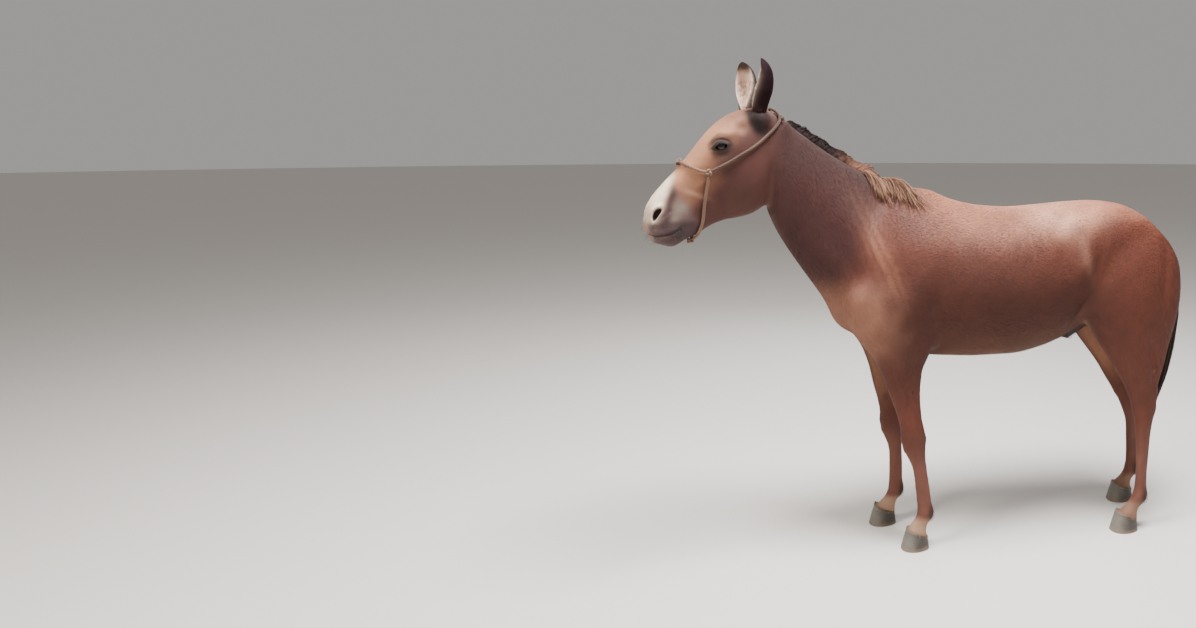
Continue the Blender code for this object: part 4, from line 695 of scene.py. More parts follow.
def nostril_axes(side):
    """The nostril's middle and three directions: into it, across it and up its long side."""
    up = unit(np.array([0, 0, math.cos(NOSTRIL_LEAN)]) - FORWARD * math.sin(NOSTRIL_LEAN))
    outward = side * SIDEWAYS + 0.5 * FORWARD
    outward = unit(outward - up * (outward @ up))
    across = np.cross(outward, up)
    middle = in_head(side * NOSTRIL_MIDDLE[0], *NOSTRIL_MIDDLE[1:])
    return middle, outward, across * np.sign(across @ FORWARD), up


def along_axes(points, axes):
    """How far points lie from the middle of a set of axes along each of its three directions."""
    middle, first, second, third = axes
    apart = points - middle
    return apart @ first, apart @ second, apart @ third


def bell(values, middle, width):
    """1 at the middle, falling off by the exponential of minus the squared distance in widths."""
    return np.exp(-(((values - middle) / width) ** 2))


def lid_measure(front, up):
    """Below 1 inside the almond between the lids: a curve with a long upper and a short lower bow."""
    bow = np.where(up > 0, LID_UPPER, LID_LOWER)
    return (front / LID_HALF_LENGTH) ** 2 + (np.abs(up) / bow) ** 1.48


def lidded(points, side):
    """Skin near an eye lifted to a ball over it, sunk behind the eye between the lids, folded round them."""
    axes = eye_axes(side)
    out, front, up = along_axes(points, axes)
    near = (out > -0.004) & (front**2 + up**2 < 0.05**2)
    shell = LID_REACH[0] * np.sqrt(np.clip(1 - (front / LID_REACH[1]) ** 2 - (up / LID_REACH[2]) ** 2, 0, 1))
    blend = 0.0025
    high = blend * np.log(np.exp(np.clip(out, 0, 1) / blend) + np.exp(shell / blend))
    measure = lid_measure(front, up)
    reach = np.sqrt(measure)
    above = smooth_step(up, -0.002, 0.006)
    high += 0.0012 * bell(reach, 1.1, 0.1)
    high -= 0.0017 * bell(reach, 1.75, 0.13) * above + 0.0012 * bell(reach, 1.8, 0.16) * (1 - above)
    high += 0.0012 * bell(reach, 2.15, 0.22) * above
    high -= 0.0011 * bell(reach, 2.6, 0.16) * above
    sunk = np.sqrt(np.clip(EYE_RADIUS**2 - front**2 - up**2, 0, 1)) - 0.005
    open_share = 1 - smooth_step(measure, 0.72, 1.05)
    target = high + (sunk - high) * open_share
    return points + np.where(near, target - out, 0)[:, None] * axes[1]


def nostril_measure(across, up):
    """Below 1 inside the nostril: a drop, widest above its middle, whose tail bends back."""
    up_share = up / NOSTRIL_HALF_HEIGHT
    bend = across + 0.004 * up_share**2
    return (bend / (NOSTRIL_HALF_WIDTH * (1 + 0.25 * up_share))) ** 2 + up_share**2


def with_nostril(points, side):
    """Skin pushed in inside the drop and raised in a soft rim round it, most on its outer side."""
    axes = nostril_axes(side)
    out, across, up = along_axes(points, axes)
    near = (np.abs(out) < 0.045) & (across**2 + up**2 < 0.05**2)
    reach = np.sqrt(nostril_measure(across, up))
    rim = 0.0035 * bell(reach, 1.4, 0.3) * (1 + 0.4 * np.tanh(across / 0.006))
    furrow = 0.0028 * bell(reach, 2.3, 0.32) * smooth_step(-across, 0.002, 0.012)
    pit = NOSTRIL_DEPTH * (1 - smooth_step(reach, 0.42, 1.06))
    return points + np.where(near, rim - furrow - pit, 0)[:, None] * axes[1]


def mouth_parts(points):
    """Height over the line between the lips, and how far a place lies ahead of the line's corner."""
    _, y, z = head_side(points).T
    line = np.array(MOUTH_LINE)
    return z - np.interp(y, line[:, 0], line[:, 1]), line[-1, 0] - y


def with_lips(points, normals):
    """A furrow along the line between the lips, a full lip over it and a slimmer one under it."""
    over, ahead = mouth_parts(points)
    share = smooth_step(ahead, -0.004, 0.012) * smooth_step(-points[:, 1], 0.74, 0.78)
    depth = 0.0045 * bell(over, 0, 0.0022)
    depth = depth - 0.0022 * bell(over, 0.011, 0.008) - 0.0018 * bell(over, -0.009, 0.006)
    corner = bell(ahead, -0.001, 0.006) * bell(over, 0, 0.008)
    return points - normals * (depth * share + 0.002 * corner)[:, None]


def refined(mesh, inside):
    """Edges whose ends both lie inside are halved, which parts each triangle between them into four."""
    shape = bmesh.new()
    shape.from_mesh(mesh)
    chosen = np.flatnonzero(inside[edges_of(mesh)].all(axis=1))
    all_edges = list(shape.edges)
    bmesh.ops.subdivide_edges(shape, edges=[all_edges[i] for i in chosen], cuts=1, use_grid_fill=True)
    bmesh.ops.triangulate(shape, faces=[face for face in shape.faces if len(face.verts) > 3])
    shape.to_mesh(mesh)
    shape.free()
    return mesh


def near_features(points, reach):
    """True near the eyes, the nostrils and the line between the lips."""
    inside = np.zeros(len(points), bool)
    for side in (1, -1):
        out, front, up = along_axes(points, eye_axes(side))
        inside |= (out > -0.01) & (front**2 + up**2 < (0.033 * reach) ** 2)
        out, across, up = along_axes(points, nostril_axes(side))
        inside |= (np.abs(out) < 0.03) & (across**2 + up**2 < (0.028 * reach) ** 2)
    over, ahead = mouth_parts(points)
    return inside | ((np.abs(over) < 0.014 * reach) & (ahead > -0.012) & (points[:, 1] < -0.7))


def smoothed(mesh, weights, rounds):
    place(mesh, relaxed(places_of(mesh), edges_of(mesh), weights, rounds))
    return mesh


def head_share(points):
    """1 on the head, 0 behind the poll."""
    return smooth_step(-points[:, 1], 0.4, 0.5)


def thinned(mesh):
    """Fewer triangles on the body, the head kept whole and the lower legs in part."""
    points = numbers(mesh, "vertices", "co", 3)
    lower = 1 - smooth_step(points[:, 2], 0.3, 0.6)
    weights = FINE_BODY + (FINE_HEAD - FINE_BODY) * np.maximum(head_share(points), 0.7 * lower)
    return with_modifier(mesh, "DECIMATE", weights, ratio=THINNED_SHARE, use_collapse_triangulate=True)


def featured(mesh):
    """Twice finer near eyes, nostrils and mouth, then given lips, lids and nostrils and lightly smoothed."""
    for reach in (1.15, 1.0):
        mesh = refined(mesh, near_features(places_of(mesh), reach))
        mesh = smoothed(mesh, near_features(places_of(mesh), 1.2).astype(float), 3)
    points = with_lips(places_of(mesh), normals_of(mesh))
    for side in (1, -1):
        points = with_nostril(lidded(points, side), side)
    place(mesh, points)
    return smoothed(mesh, 0.8 * near_features(points, 1.2), 2)


def inset(mesh, depth):
    """The whole skin moved in by the depth of the coat that lies over it."""
    place(mesh, places_of(mesh) - depth * numbers(mesh, "vertices", "normal", 3))
    return mesh


hide = inset(featured(thinned(hide)), COAT_DEPTH)


# The coat's colours. The animal is red-brown, golden at the breast, and darker on the neck, partly as painted
# shade;
# it has painted highlights on back, croup, shoulder blade and hip, and painted shade low on its sides; its
# face is tan, with painted light on its front, its muzzle cream with grey lips and painted shade by nostrils
# and mouth, its eyes ringed dark, its pasterns pale.

RED_BROWN = (0.09, 0.0235, 0.013)
TOP_HIGHLIGHT_TAN = (0.44, 0.18, 0.102)
GOLDEN = (0.26, 0.12, 0.075)
PALE_HIGHLIGHT = (0.62, 0.34, 0.235)
SHIN_BROWN = (0.13, 0.05, 0.034)
NECK_BROWN_AND_SHADE = (0.035, 0.012, 0.0118)
FACE_TAN_AND_FRONT_LIGHT = (0.41, 0.19, 0.105)
CHEEK_BROWN = (0.075, 0.027, 0.021)
CREAM = (0.78, 0.63, 0.47)
LIP_GREY_AND_FOLD_SHADE = (0.056, 0.031, 0.032)
MOUTH_CORNER_SHADE = (0.022, 0.017, 0.015)
NOSE_PINK_AND_FRONT_LIGHT = (0.42, 0.28, 0.22)
EYE_RING_AND_LID_SHADE = (0.009, 0.006, 0.006)
NOSTRIL_DARK_AND_SHADE = (0.02, 0.014, 0.014)
KNEE_BROWN = (0.06, 0.02, 0.012)
HALO_BROWN = (0.036, 0.018, 0.016)
NOSE_PURPLE = (0.13, 0.08, 0.078)
PASTERN_CREAM = (0.34, 0.21, 0.13)
MUZZLE_BEIGE = (0.23, 0.18, 0.142)
CREST_BROWN_AND_TOP_LIGHT = (0.037, 0.0172, 0.0142)
DARK_TUFT = (0.024, 0.0105, 0.0098)
EAR_FOOT_DARK = (0.011, 0.005, 0.0055)
UNDER_EYE = (0.2, 0.115, 0.1)
SHEATH_DARK = (0.011, 0.006, 0.006)
MEALY = (0.26, 0.12, 0.06)
FORE_FETLOCK_Y = (0.1, 0.1 - 0.062)  # of the left and of the right leg
HIND_FETLOCK_Y = (1.005, 1.005 + 0.112)
FACE_Y, FACE_Z = 0.756, 0.655  # how far forward and down the face's front runs in a metre
POLL_Z = 1.7


def mixed(colours, other, share):
    """Colours, or vectors, taken by a share of the way to another."""
    return colours + (np.array(other) - colours) * np.clip(share, 0, 1)[:, None]


def wander(points, scale, seed):
    """A soft wave pattern between -1 and 1: a sum of sines along six fixed slants."""
    rng = np.random.default_rng(seed)
    total = np.zeros(len(points))
    for octave in range(6):
        slant = unit(rng.normal(size=3)) * scale * (0.7 + 0.5 * octave)
        total += np.sin(points @ slant + rng.uniform(0, 6.3)) / (1 + 0.4 * octave)
    return total / 3


def face_places(points):
    """Distance from the head's middle plane, way down the face from the poll, and way in from its front."""
    side, y, z = head_side(points).T
    down = -FACE_Y * (y - POLL_Y) - FACE_Z * (z - POLL_Z)
    deep = FACE_Z * (y - POLL_Y) - FACE_Y * (z - POLL_Z)
    return np.abs(side), down, deep


def before_trunk(y, z):
    """How far a place lies ahead of the slanted line at which the neck leaves the trunk."""
    return -y + 0.35 * (z - 1.2)


def past_fetlock(points):
    """How far each point of a leg lies behind the middle of its fetlock."""
    x, y, _ = points.T
    return y - np.where(y < 0.4, np.where(x > 0, *FORE_FETLOCK_Y), np.where(x > 0, *HIND_FETLOCK_Y))


# Each of the next functions gives colours with the share in which they are laid on, one over the other.


def body_layers(points, normals, soft, fine):
    """Dark neck, partly painted shade, its crest lighter where it faces up as painted light, golden breast,
    painted highlights on back, croup, shoulder blade, hip and the fold under it, mealy belly and groin.
    """
    x, y, z = points.T
    # The neck's darker brown is partly its own colour and partly painted shade; the crest, where the neck
    # faces up, and the nape get a lighter brown as painted top light.
    neck = smooth_step(before_trunk(y, z), 0.1, 0.24) * smooth_step(z, 0.95, 1.1)
    yield NECK_BROWN_AND_SHADE, 0.85 * neck * (0.85 + 0.2 * soft)
    crest = neck * smooth_step(normals[:, 2], 0.15, 0.6)
    nape = neck * smooth_step(z, 1.4, 1.56)
    yield CREST_BROWN_AND_TOP_LIGHT, np.maximum(0.85 * crest, 0.5 * nape)
    breast = smooth_step(-y + 0.04 * fine, -0.01, 0.15) * (1 - smooth_step(z + 0.05 * soft, 0.95, 1.14))
    yield GOLDEN, 0.75 * breast * smooth_step(z, 0.72, 0.85)
    # Painted highlight: paler tan where the coat faces up on the back, a touch on the croup, and streaks
    # along the shoulder blade's ridge, for the light from above and the coat's sheen.
    up = normals[:, 2] + 0.12 * soft + 0.06 * fine - 0.33 * smooth_step(y, 0.66, 0.84)
    top = smooth_step(up, 0.22, 1.0) * smooth_step(z, 1.12, 1.25) * smooth_step(y, -0.05, 0.2)
    croup = bell(y, 0.78, 0.2) * smooth_step(z, 1.16, 1.3)
    across = (y + 0.13) * 0.94 + (z - 1.2) * 0.342
    blade = bell(across, 0.02, 0.042) * bell(z, 1.17, 0.16)
    strands = 1 + 0.5 * np.sin(across * 210 + 1.5 * fine)
    yield TOP_HIGHLIGHT_TAN, 0.6 * top + 0.02 * croup + 0.24 * blade * strands * (1 - top)
    # Painted highlights: a broad pale patch on the loin before the point of the hip, and a pale line on the
    # fold under the hip.
    hip = bell(y, 0.6, 0.12) * bell(z, 1.3, 0.06)
    fold = bell(y + 0.26 * (z - 1.16), 0.672, 0.02) * bell(z, 1.16, 0.08)
    yield PALE_HIGHLIGHT, (0.42 * hip + 0.14 * fold) * (1 + 0.4 * fine)
    inner = smooth_step(-normals[:, 0] * np.sign(x), 0.2, 0.8)
    yield MEALY, 0.65 * inner * (1 - smooth_step(z, 0.85, 1.0)) * smooth_step(z, 0.5, 0.7)
    belly = smooth_step(-normals[:, 2], 0.5, 0.95) * smooth_step(z, 0.6, 0.7) * smooth_step(y, 0.1, 0.2)
    yield MEALY, 0.35 * belly


def leg_layers(points, soft, fine, head):
    """Brown shins, pale pasterns, dark fetlock tufts and sheath, brown knees and hocks, and the calluses."""
    x, y, z = points.T
    yield SHIN_BROWN, 0.75 * (1 - smooth_step(z, 0.3, 0.5)) * (1 - head)
    pale = (1 - smooth_step(z + 0.008 * fine + 0.02 * soft, 0.105, 0.135)) * (1 - head)
    yield PASTERN_CREAM, np.where(y < 0.4, 0.85, 0.36) * pale
    yield DARK_TUFT, 0.85 * bell(z, 0.145, 0.035) * smooth_step(past_fetlock(points), -0.03, 0.0)
    sheath = bell(y, 0.72, 0.08) * bell(x, 0, 0.055) * (1 - smooth_step(z, 0.85, 0.89))
    yield SHEATH_DARK, 0.97 * np.minimum(1, 1.5 * sheath)
    yield KNEE_BROWN, 0.45 * (bell(z, 0.46, 0.06) * (y < 0.3) + 0.6 * bell(z, 0.56, 0.06) * (y > 0.6))
    own = as_left_legs(points)
    own[:, 0] = np.abs(x)
    callus = np.linalg.norm((own - CHESTNUT) / (0.02, 0.012, 0.022), axis=1)
    yield SHEATH_DARK, 0.5 * (1 - smooth_step(callus, 0.8, 1.15))


def face_layers(points, normals, soft, fine, head):
    """Brown cheeks, tan face paler at its front as painted light, cream stripe, purple-grey muzzle with beige
    patches, grey lips, painted shadow in the fold by the nostril and in the mouth's corner, a painted
    highlight on the fold over the muzzle, pink nose paler where it faces forward as painted light.
    """
    side, down, deep = face_places(points)
    yield CHEEK_BROWN, head
    # The face's front is painted a paler tan, partly its own colour and partly painted light where it faces
    # the light.
    front = (1 - smooth_step(deep + 0.5 * side + 0.01 * fine, -0.03, 0.06)) * smooth_step(down, -0.05, 0.06)
    brow = 0.4 + 0.6 * smooth_step(down + 0.01 * fine, 0.12, 0.25)
    yield FACE_TAN_AND_FRONT_LIGHT, head * front * brow
    lower = smooth_step(down - 0.2 * side + 0.01 * soft, 0.26, 0.34) * (1 - smooth_step(deep, 0.02, 0.08))
    yield FACE_TAN_AND_FRONT_LIGHT, 0.45 * head * lower
    edge = 0.61 * (down - 0.404) - 0.065 + 0.009 * fine + 0.006 * soft
    stripe = 1 - smooth_step(deep, edge - 0.022, edge + 0.01)
    stripe = stripe * smooth_step(down + 0.012 * fine - 0.9 * side, 0.32, 0.4)
    yield CREAM, head * stripe
    muzzle = smooth_step(down - 0.2 * deep + 0.006 * fine, 0.425, 0.465) * (1 - stripe)
    yield NOSE_PURPLE, 0.75 * head * muzzle
    patch = bell(down, 0.479, 0.026) * bell(deep, 0.031, 0.023)
    patch = patch + 0.8 * bell(down, 0.517, 0.018) * bell(deep, 0.045, 0.014)
    yield MUZZLE_BEIGE, head * patch * (1.05 + 0.15 * fine)
    # Painted shadow: a grey band just behind the cream stripe, in the fold between the nostril's wing and the
    # lip.
    band = bell(deep, edge + 0.009 + 0.1 * (down - 0.45), 0.017) * smooth_step(down, 0.43, 0.465)
    yield LIP_GREY_AND_FOLD_SHADE, 0.88 * head * band
    # Painted highlight: a pale line along the fold over the muzzle.
    yield PALE_HIGHLIGHT, 0.45 * head * (bell(down + 0.46 * deep, 0.422, 0.009) * bell(deep, 0.02, 0.035))
    lips = smooth_step(deep + 0.9 * (down - 0.5) + 0.004 * fine, 0.055, 0.085)
    yield LIP_GREY_AND_FOLD_SHADE, 0.92 * head * lips * smooth_step(down, 0.45, 0.485)
    over, _ = mouth_parts(points)
    yield NOSE_PURPLE, 0.4 * head * (smooth_step(down, 0.56, 0.6) * (1 - smooth_step(over, 0.02, 0.045)))
    # Painted shade in the corner of the mouth.
    yield MOUTH_CORNER_SHADE, 0.8 * head * (bell(down, 0.532, 0.026) * bell(deep, 0.085, 0.022))
    # Pink skin at the end of the nose, painted paler where it faces forward: partly painted light.
    nose_end = smooth_step(normals @ FORWARD + 0.04 * fine, 0.45, 1.0) * smooth_step(down, 0.52, 0.56)
    yield NOSE_PINK_AND_FRONT_LIGHT, 0.62 * head * nose_end


def opening_layers(points, fine, head):
    """Black nostrils, partly painted shade, dark lids with a brown halo, painted shade on the fold of each
    upper lid, a pale place under each eye, and dark feet of the ears.
    """
    for sign in (1, -1):
        out, across, up = along_axes(points, nostril_axes(sign))
        near = (np.abs(out) < 0.05).astype(float)
        # Inside each nostril: dark skin with painted shade of the pit.
        yield NOSTRIL_DARK_AND_SHADE, near * (1 - smooth_step(np.sqrt(nostril_measure(across, up)), 0.8, 1.15))
        out, front, up = along_axes(points, eye_axes(sign))
        near = (out > -0.01).astype(float)
        reach = np.sqrt(lid_measure(front, up))
        ring = 1 - smooth_step(reach + 0.12 * fine - 0.3 * bell(up, 0, 0.006), 1.3, 2.0)
        yield EYE_RING_AND_LID_SHADE, 0.95 * near * ring
        halo = np.sqrt((front + 0.002) ** 2 + ((up - 0.004) * 1.15) ** 2) + 0.004 * fine
        halo = (1 - smooth_step(halo, 0.028, 0.056)) * near
        yield HALO_BROWN, 0.93 * halo * (1 - ring)
        under = bell(up, -0.034, 0.014) * bell(front, 0.006, 0.03)
        yield UNDER_EYE, 0.5 * near * under * (1 - halo)
        # Painted shade: the fold over each upper lid, which the light from above would make pale, darkened to
        # the lids' colour.
        yield EYE_RING_AND_LID_SHADE, 0.85 * near * (bell(up, 0.0165, 0.007) * bell(front, 0, 0.026))
    side, y, z = head_side(points).T
    ear_foot = np.stack([(np.abs(side) - 0.07) / 0.055, (y + 0.548) / 0.046, (z - 1.672) / 0.07], axis=-1)
    ear_foot = 1 - smooth_step(np.linalg.norm(ear_foot, axis=1) + 0.08 * fine, 0.7, 1.3)
    yield EAR_FOOT_DARK, 0.97 * ear_foot * head


def markings(points, normals):
    """Linear colour of the coat at points of the skin: layers over red-brown, and painted shade low on the
    side.
    """
    _, y, z = points.T
    soft, fine = wander(points, 9, 1), wander(points, 38, 2)
    head = smooth_step(-y, 0.42, 0.54)
    colours = np.tile(np.array(RED_BROWN), (len(points), 1))
    for layers in (
        body_layers(points, normals, soft, fine),
        leg_layers(points, soft, fine, head),
        face_layers(points, normals, soft, fine, head),
        opening_layers(points, fine, head),
    ):
        for colour, share in layers:
            colours = mixed(colours, colour, share)
    # Painted shade: the coat darkened low on the trunk's sides, from the elbow back to the flank.
    shaded = smooth_step(1.22 - z, 0, 0.3) * smooth_step(y, -0.16, 0.0)
    shaded = shaded * (1 - smooth_step(y, 0.66, 0.9)) * smooth_step(z, 0.55, 0.75)
    blotch = wander(points, 80, 11) * (1 - 0.6 * head)
    return colours * (1 + 0.09 * soft + 0.08 * fine + 0.07 * blotch)[:, None] * (1 - 0.38 * shaded)[:, None]


def paint(mesh, colours):
    """Puts a colour on each vertex, for the coat's materials to read."""
    layer = mesh.color_attributes.new("coat colour", "FLOAT_COLOR", "POINT")
    values = np.concatenate([np.clip(colours, 0, 1), np.ones((len(colours), 1))], axis=1)
    layer.data.foreach_set("color", values.astype(np.float32).ravel())


def node(tree, kind, **settings):
    """A shader node; what isn't one of its properties sets or links its socket of that name or number."""
    made = tree.nodes.new(kind)
    for key, value in settings.items():
        if hasattr(made, key):
            setattr(made, key, value)
            continue
        socket = made.inputs[int(key[1:]) if key[1:].isdigit() else key.replace("_", " ")]
        if isinstance(value, bpy.types.NodeSocket):
            tree.links.new(value, socket)
        else:
            socket.default_value = value
    return made


def new_material(name, roughness, **sockets):
    """A material, its nodes and its shader, whose sockets are set by name."""
    made = bpy.data.materials.new(name)
    made.use_nodes = True
    shader = made.node_tree.nodes["Principled BSDF"]
    shader.inputs["Roughness"].default_value = roughness
    for key, value in sockets.items():
        shader.inputs[key.replace("_", " ")].default_value = value
    return made, made.node_tree, shader


def own_places(tree):
    return node(tree, "ShaderNodeTexCoord").outputs["Object"]


def noise(tree, where, scale, detail, roughness=0.5, drawn=None):
    """Noise at places, long along each axis whose share in drawn is small."""
    if drawn:
        where = node(tree, "ShaderNodeMapping", Vector=where, Scale=drawn).outputs[0]
    made = node(tree, "ShaderNodeTexNoise", Vector=where, Scale=scale, Detail=detail, Roughness=roughness)
    return made.outputs["Fac"]


def between(tree, value, low, high, most=1.0):
    """A value of 0 to most brought to low to high."""
    return node(tree, "ShaderNodeMapRange", Value=value, From_Max=most, To_Min=low, To_Max=high).outputs[0]


def relief(tree, height, strength, distance, **under):
    """A fine relief of the surface by a height, over the one that lies under it, if any."""
    bump = node(tree, "ShaderNodeBump", Height=height, Strength=strength, Distance=distance, **under)
    return bump.outputs[0]


def dress(tree, shader, shade, roughness=None, normal=None):
    """Gives the shader the painted colour times a shade, and a roughness and a relief where there are any."""
    colour = node(tree, "ShaderNodeAttribute", attribute_name="coat colour").outputs["Color"]
    scaled = node(tree, "ShaderNodeVectorMath", operation="SCALE", _0=colour, Scale=shade).outputs[0]
    for socket, value in (("Base Color", scaled), ("Roughness", roughness), ("Normal", normal)):
        if value:
            tree.links.new(value, shader.inputs[socket])


def coat_material(name, gloss):
    """Painted colour broken by fine streaks along the hair, each with a gloss of its own."""
    made, tree, shader = new_material(name, 0.62, Specular_IOR_Level=gloss)
    where = own_places(tree)
    streaks = noise(tree, where, 520, 4, 0.65, (1, 0.45, 0.22))
    patches = noise(tree, where, 26, 5, 0.6)
    light, dark = between(tree, streaks, 0.78, 1.22), between(tree, patches, 0.84, 1.16)
    shade = node(tree, "ShaderNodeMath", operation="MULTIPLY", _0=light, _1=dark).outputs[0]
    wide = relief(tree, patches, 0.25, 0.004, Normal=relief(tree, streaks, 0.5, 0.0012))
    dress(tree, shader, shade, between(tree, streaks, 0.48, 0.78), wide)
    return made


def shade_as(mesh, facing):
    """Lights the outward faces nearly as the skin under them, whose direction out is given at each corner."""
    sizes = numbers(mesh, "polygons", "loop_total", 1, np.int32)
    own = np.repeat(numbers(mesh, "polygons", "normal", 3), sizes, axis=0)
    outward = np.einsum("nk,nk->n", own, facing)[:, None]
    lit = np.where(outward > 0, unit(0.3 * own + 0.7 * facing), own)
    mesh.normals_split_custom_set(lit.tolist())


def finished(name, mesh, material, replaced=(), facing=None):
    place(mesh, places_of(mesh) + (0, FORE_FEET_Y, 0))
    mesh.polygons.foreach_set("use_smooth", np.ones(len(mesh.polygons), bool))
    if facing is not None:
        shade_as(mesh, facing)
    mesh.materials.clear()
    mesh.materials.append(material)
    mesh.name = name
    piece = bpy.data.objects.new(name, mesh)
    bpy.context.scene.collection.objects.link(piece)
    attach(piece, "root")
    if replaced:
        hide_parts(*replaced)


LEGS = [f"{limb}_{side}" for limb in ("foreleg", "hindleg") for side in ("left", "right")]
FLESH_NODES = ["head", "neck", "torso"] + [f"{leg}_{length}" for leg in LEGS for length in ("upper", "lower")]
paint(hide, markings(places_of(hide), normals_of(hide)))
coat = coat_material("short coat", 0.27)
finished("hide", hide.copy(), coat, FLESH_NODES)


# The eyes. Wet, nearly black balls with a long level pupil in a brown iris, set behind the lids.

CORNEA_RISE = 0.0012
PUPIL = (0.0075, 0.0036)  # half its length and half its height
IRIS_RADIUS = 0.0135
IRIS_BROWN = (0.022, 0.011, 0.007)
IRIS_RIM = (0.008, 0.006, 0.006)
WHITE_OF_EYE = (0.04, 0.026, 0.022)  # dark on this animal
PUPIL_BLACK = (0.002, 0.002, 0.003)


def eyeball(side):
    """Rings round the gaze: a ball whose front swells by a small bell shape, the clear cornea."""
    middle, gaze, front, up = eye_axes(side)
    tilt = np.linspace(0.02, math.pi - 0.02, 60)[:, None, None]
    turn = np.linspace(0, 2 * math.pi, 72, endpoint=False)[None, :, None]
    radius = EYE_RADIUS + CORNEA_RISE * np.exp(-((tilt / 0.6) ** 2))
    ring = np.sin(tilt) * (np.cos(turn) * front + np.sin(turn) * up) + np.cos(tilt) * gaze
    return closed_loft(middle + radius * ring)


def eye_colours(points, side):
    """A level slot of a pupil, a brown iris darker at its rim, and a dark white round it."""
    _, front, up = along_axes(points, eye_axes(side))
    reach = np.sqrt(front**2 + up**2) / IRIS_RADIUS
    colours = np.tile(IRIS_BROWN, (len(points), 1))
    colours = mixed(colours, IRIS_RIM, smooth_step(reach, 0.75, 1.0))
    colours = mixed(colours, WHITE_OF_EYE, smooth_step(reach, 1.05, 1.3))
    slot = (front / PUPIL[0]) ** 2 + (up / PUPIL[1]) ** 2
    return mixed(colours, PUPIL_BLACK, 1 - smooth_step(slot, 0.8, 1.2))


def eye_material():
    made, tree, shader = new_material(
        "wet eye", 0.1, IOR=1.38, Coat_Weight=0.5, Coat_Roughness=0.03, Specular_IOR_Level=0.4
    )
    dress(tree, shader, between(tree, noise(tree, own_places(tree), 900, 3), 0.6, 1.4))
    return made


wet_eye = eye_material()
for side, word in ((1, "left"), (-1, "right")):
    ball_mesh = turned_out(mesh_of("eye", *eyeball(side)))
    paint(ball_mesh, eye_colours(places_of(ball_mesh), side))
    finished(f"eyeball_{word}", ball_mesh, wet_eye, [f"eye_{word}"])


# The ears. Long cups of thin gristle, open ahead, dark behind, tan and pink inside with a paler rim, the
# inside painted paler still as painted light in the cup. Each root sinks into the crown of the head.

EAR_BASE = (0.061, -0.547, 1.678)
EAR_TIP = {1: (0.083, -0.535, 1.868), -1: (0.083, -0.552, 1.866)}
EAR_TURN = {1: 28, -1: 38}  # how far each opening turns inward, in degrees
EAR_WALL = 0.0036
EAR_ROOT_DEPTH = 0.012  # sunk into the head
# Share of the ear's length, radius, half angle of the opening in degrees, and bend ahead.
EAR = (
    (0, 0.0245, 12, 0),
    (0.14, 0.0305, 24, -0.001),
    (0.3, 0.036, 44, -0.004),
    (0.46, 0.0405, 58, -0.007),
    (0.62, 0.0395, 66, -0.0085),
    (0.77, 0.0345, 72, -0.0075),
    (0.89, 0.025, 76, -0.003),
    (0.965, 0.0138, 80, 0.003),
    (0.99, 0.0065, 83, 0.0055),
    (1, 0.0016, 86, 0.006),
)
EAR_DARK = (0.012, 0.005, 0.0062)
EAR_INSIDE_AND_LIGHT = (0.95, 0.74, 0.62)
EAR_RIM = (0.72, 0.54, 0.43)


def ear_axes(side):
    """The ear's base, length, direction, where its opening faces and its sideways direction."""
    base = in_head(side * EAR_BASE[0], *EAR_BASE[1:])
    tip = in_head(side * EAR_TIP[side][0], *EAR_TIP[side][1:])
    up = unit(tip - base)
    turn = HEAD_YAW - side * math.radians(EAR_TURN[side])
    ahead = np.array([math.sin(turn), -math.cos(turn), 0])
    ahead = unit(ahead - up * (ahead @ up))
    return base, np.linalg.norm(tip - base), up, ahead, np.cross(up, ahead)


def ear_places(side, at, angle, depth=0.0):
    """Points of the cup at shares of its length and of the way round it, at a depth below its outer face.

    Each ring is an oval flattened to 0.85, cut open ahead, with edges that curl out by a tenth of the radius.
    """
    base, length, up, ahead, across = ear_axes(side)
    stations = np.array(EAR)
    radius, opening, bend = along(stations[:, 0], stations[:, 1:], at).T[:, :, None]
    opening = np.radians(opening)
    turn = opening + (2 * math.pi - 2 * opening) * angle
    closing = 0.12 + 0.88 * smooth_step(at[:, None], 0.0, 0.16)
    reach = np.where(depth > 0, (radius - np.minimum(depth, 0.6 * radius)) * closing, radius)
    curl = 1 + 0.1 * (np.exp(-angle / 0.06) + np.exp(-(1 - angle) / 0.06)) * np.sin(math.pi * at)[:, None]
    ring = 0.85 * reach * np.cos(turn) * curl
    width = reach * np.sin(turn)
    rise = (at * length)[:, None, None] * up
    return base + rise + (bend[..., None] + ring[..., None]) * ahead + width[..., None] * across


def ear_mesh(side):
    """Outer and inner face as one closed band round a C, carried up the ear, and where each vertex lies."""
    at = np.concatenate([[0], np.linspace(0, 1, 64) ** 0.94])
    angle = np.linspace(0, 1, 34)[None]
    outer = ear_places(side, at, angle)
    inner = ear_places(side, at, angle[:, ::-1], EAR_WALL)
    rings = np.concatenate([outer, inner], axis=1)
    rings[0] -= EAR_ROOT_DEPTH * ear_axes(side)[2]
    rows, count = rings.shape[:2]
    ends = []
    for row, order in ((0, 1), (rows - 1, -1)):
        index = row * count + np.arange(count)
        out_side, in_side = index[: count // 2], index[count // 2 :][::-1]
        ends.append(np.stack([out_side[:-1], out_side[1:], in_side[1:], in_side[:-1]], axis=-1)[:, ::order])
    mesh = turned_out(mesh_of("ear", rings.reshape(-1, 3), quads_of(rows, count), *ends))
    round_it = np.tile(np.concatenate([angle[0], angle[0, ::-1]]), rows)
    return mesh, np.repeat(at, count), round_it, np.tile(np.arange(count) >= count // 2, rows)


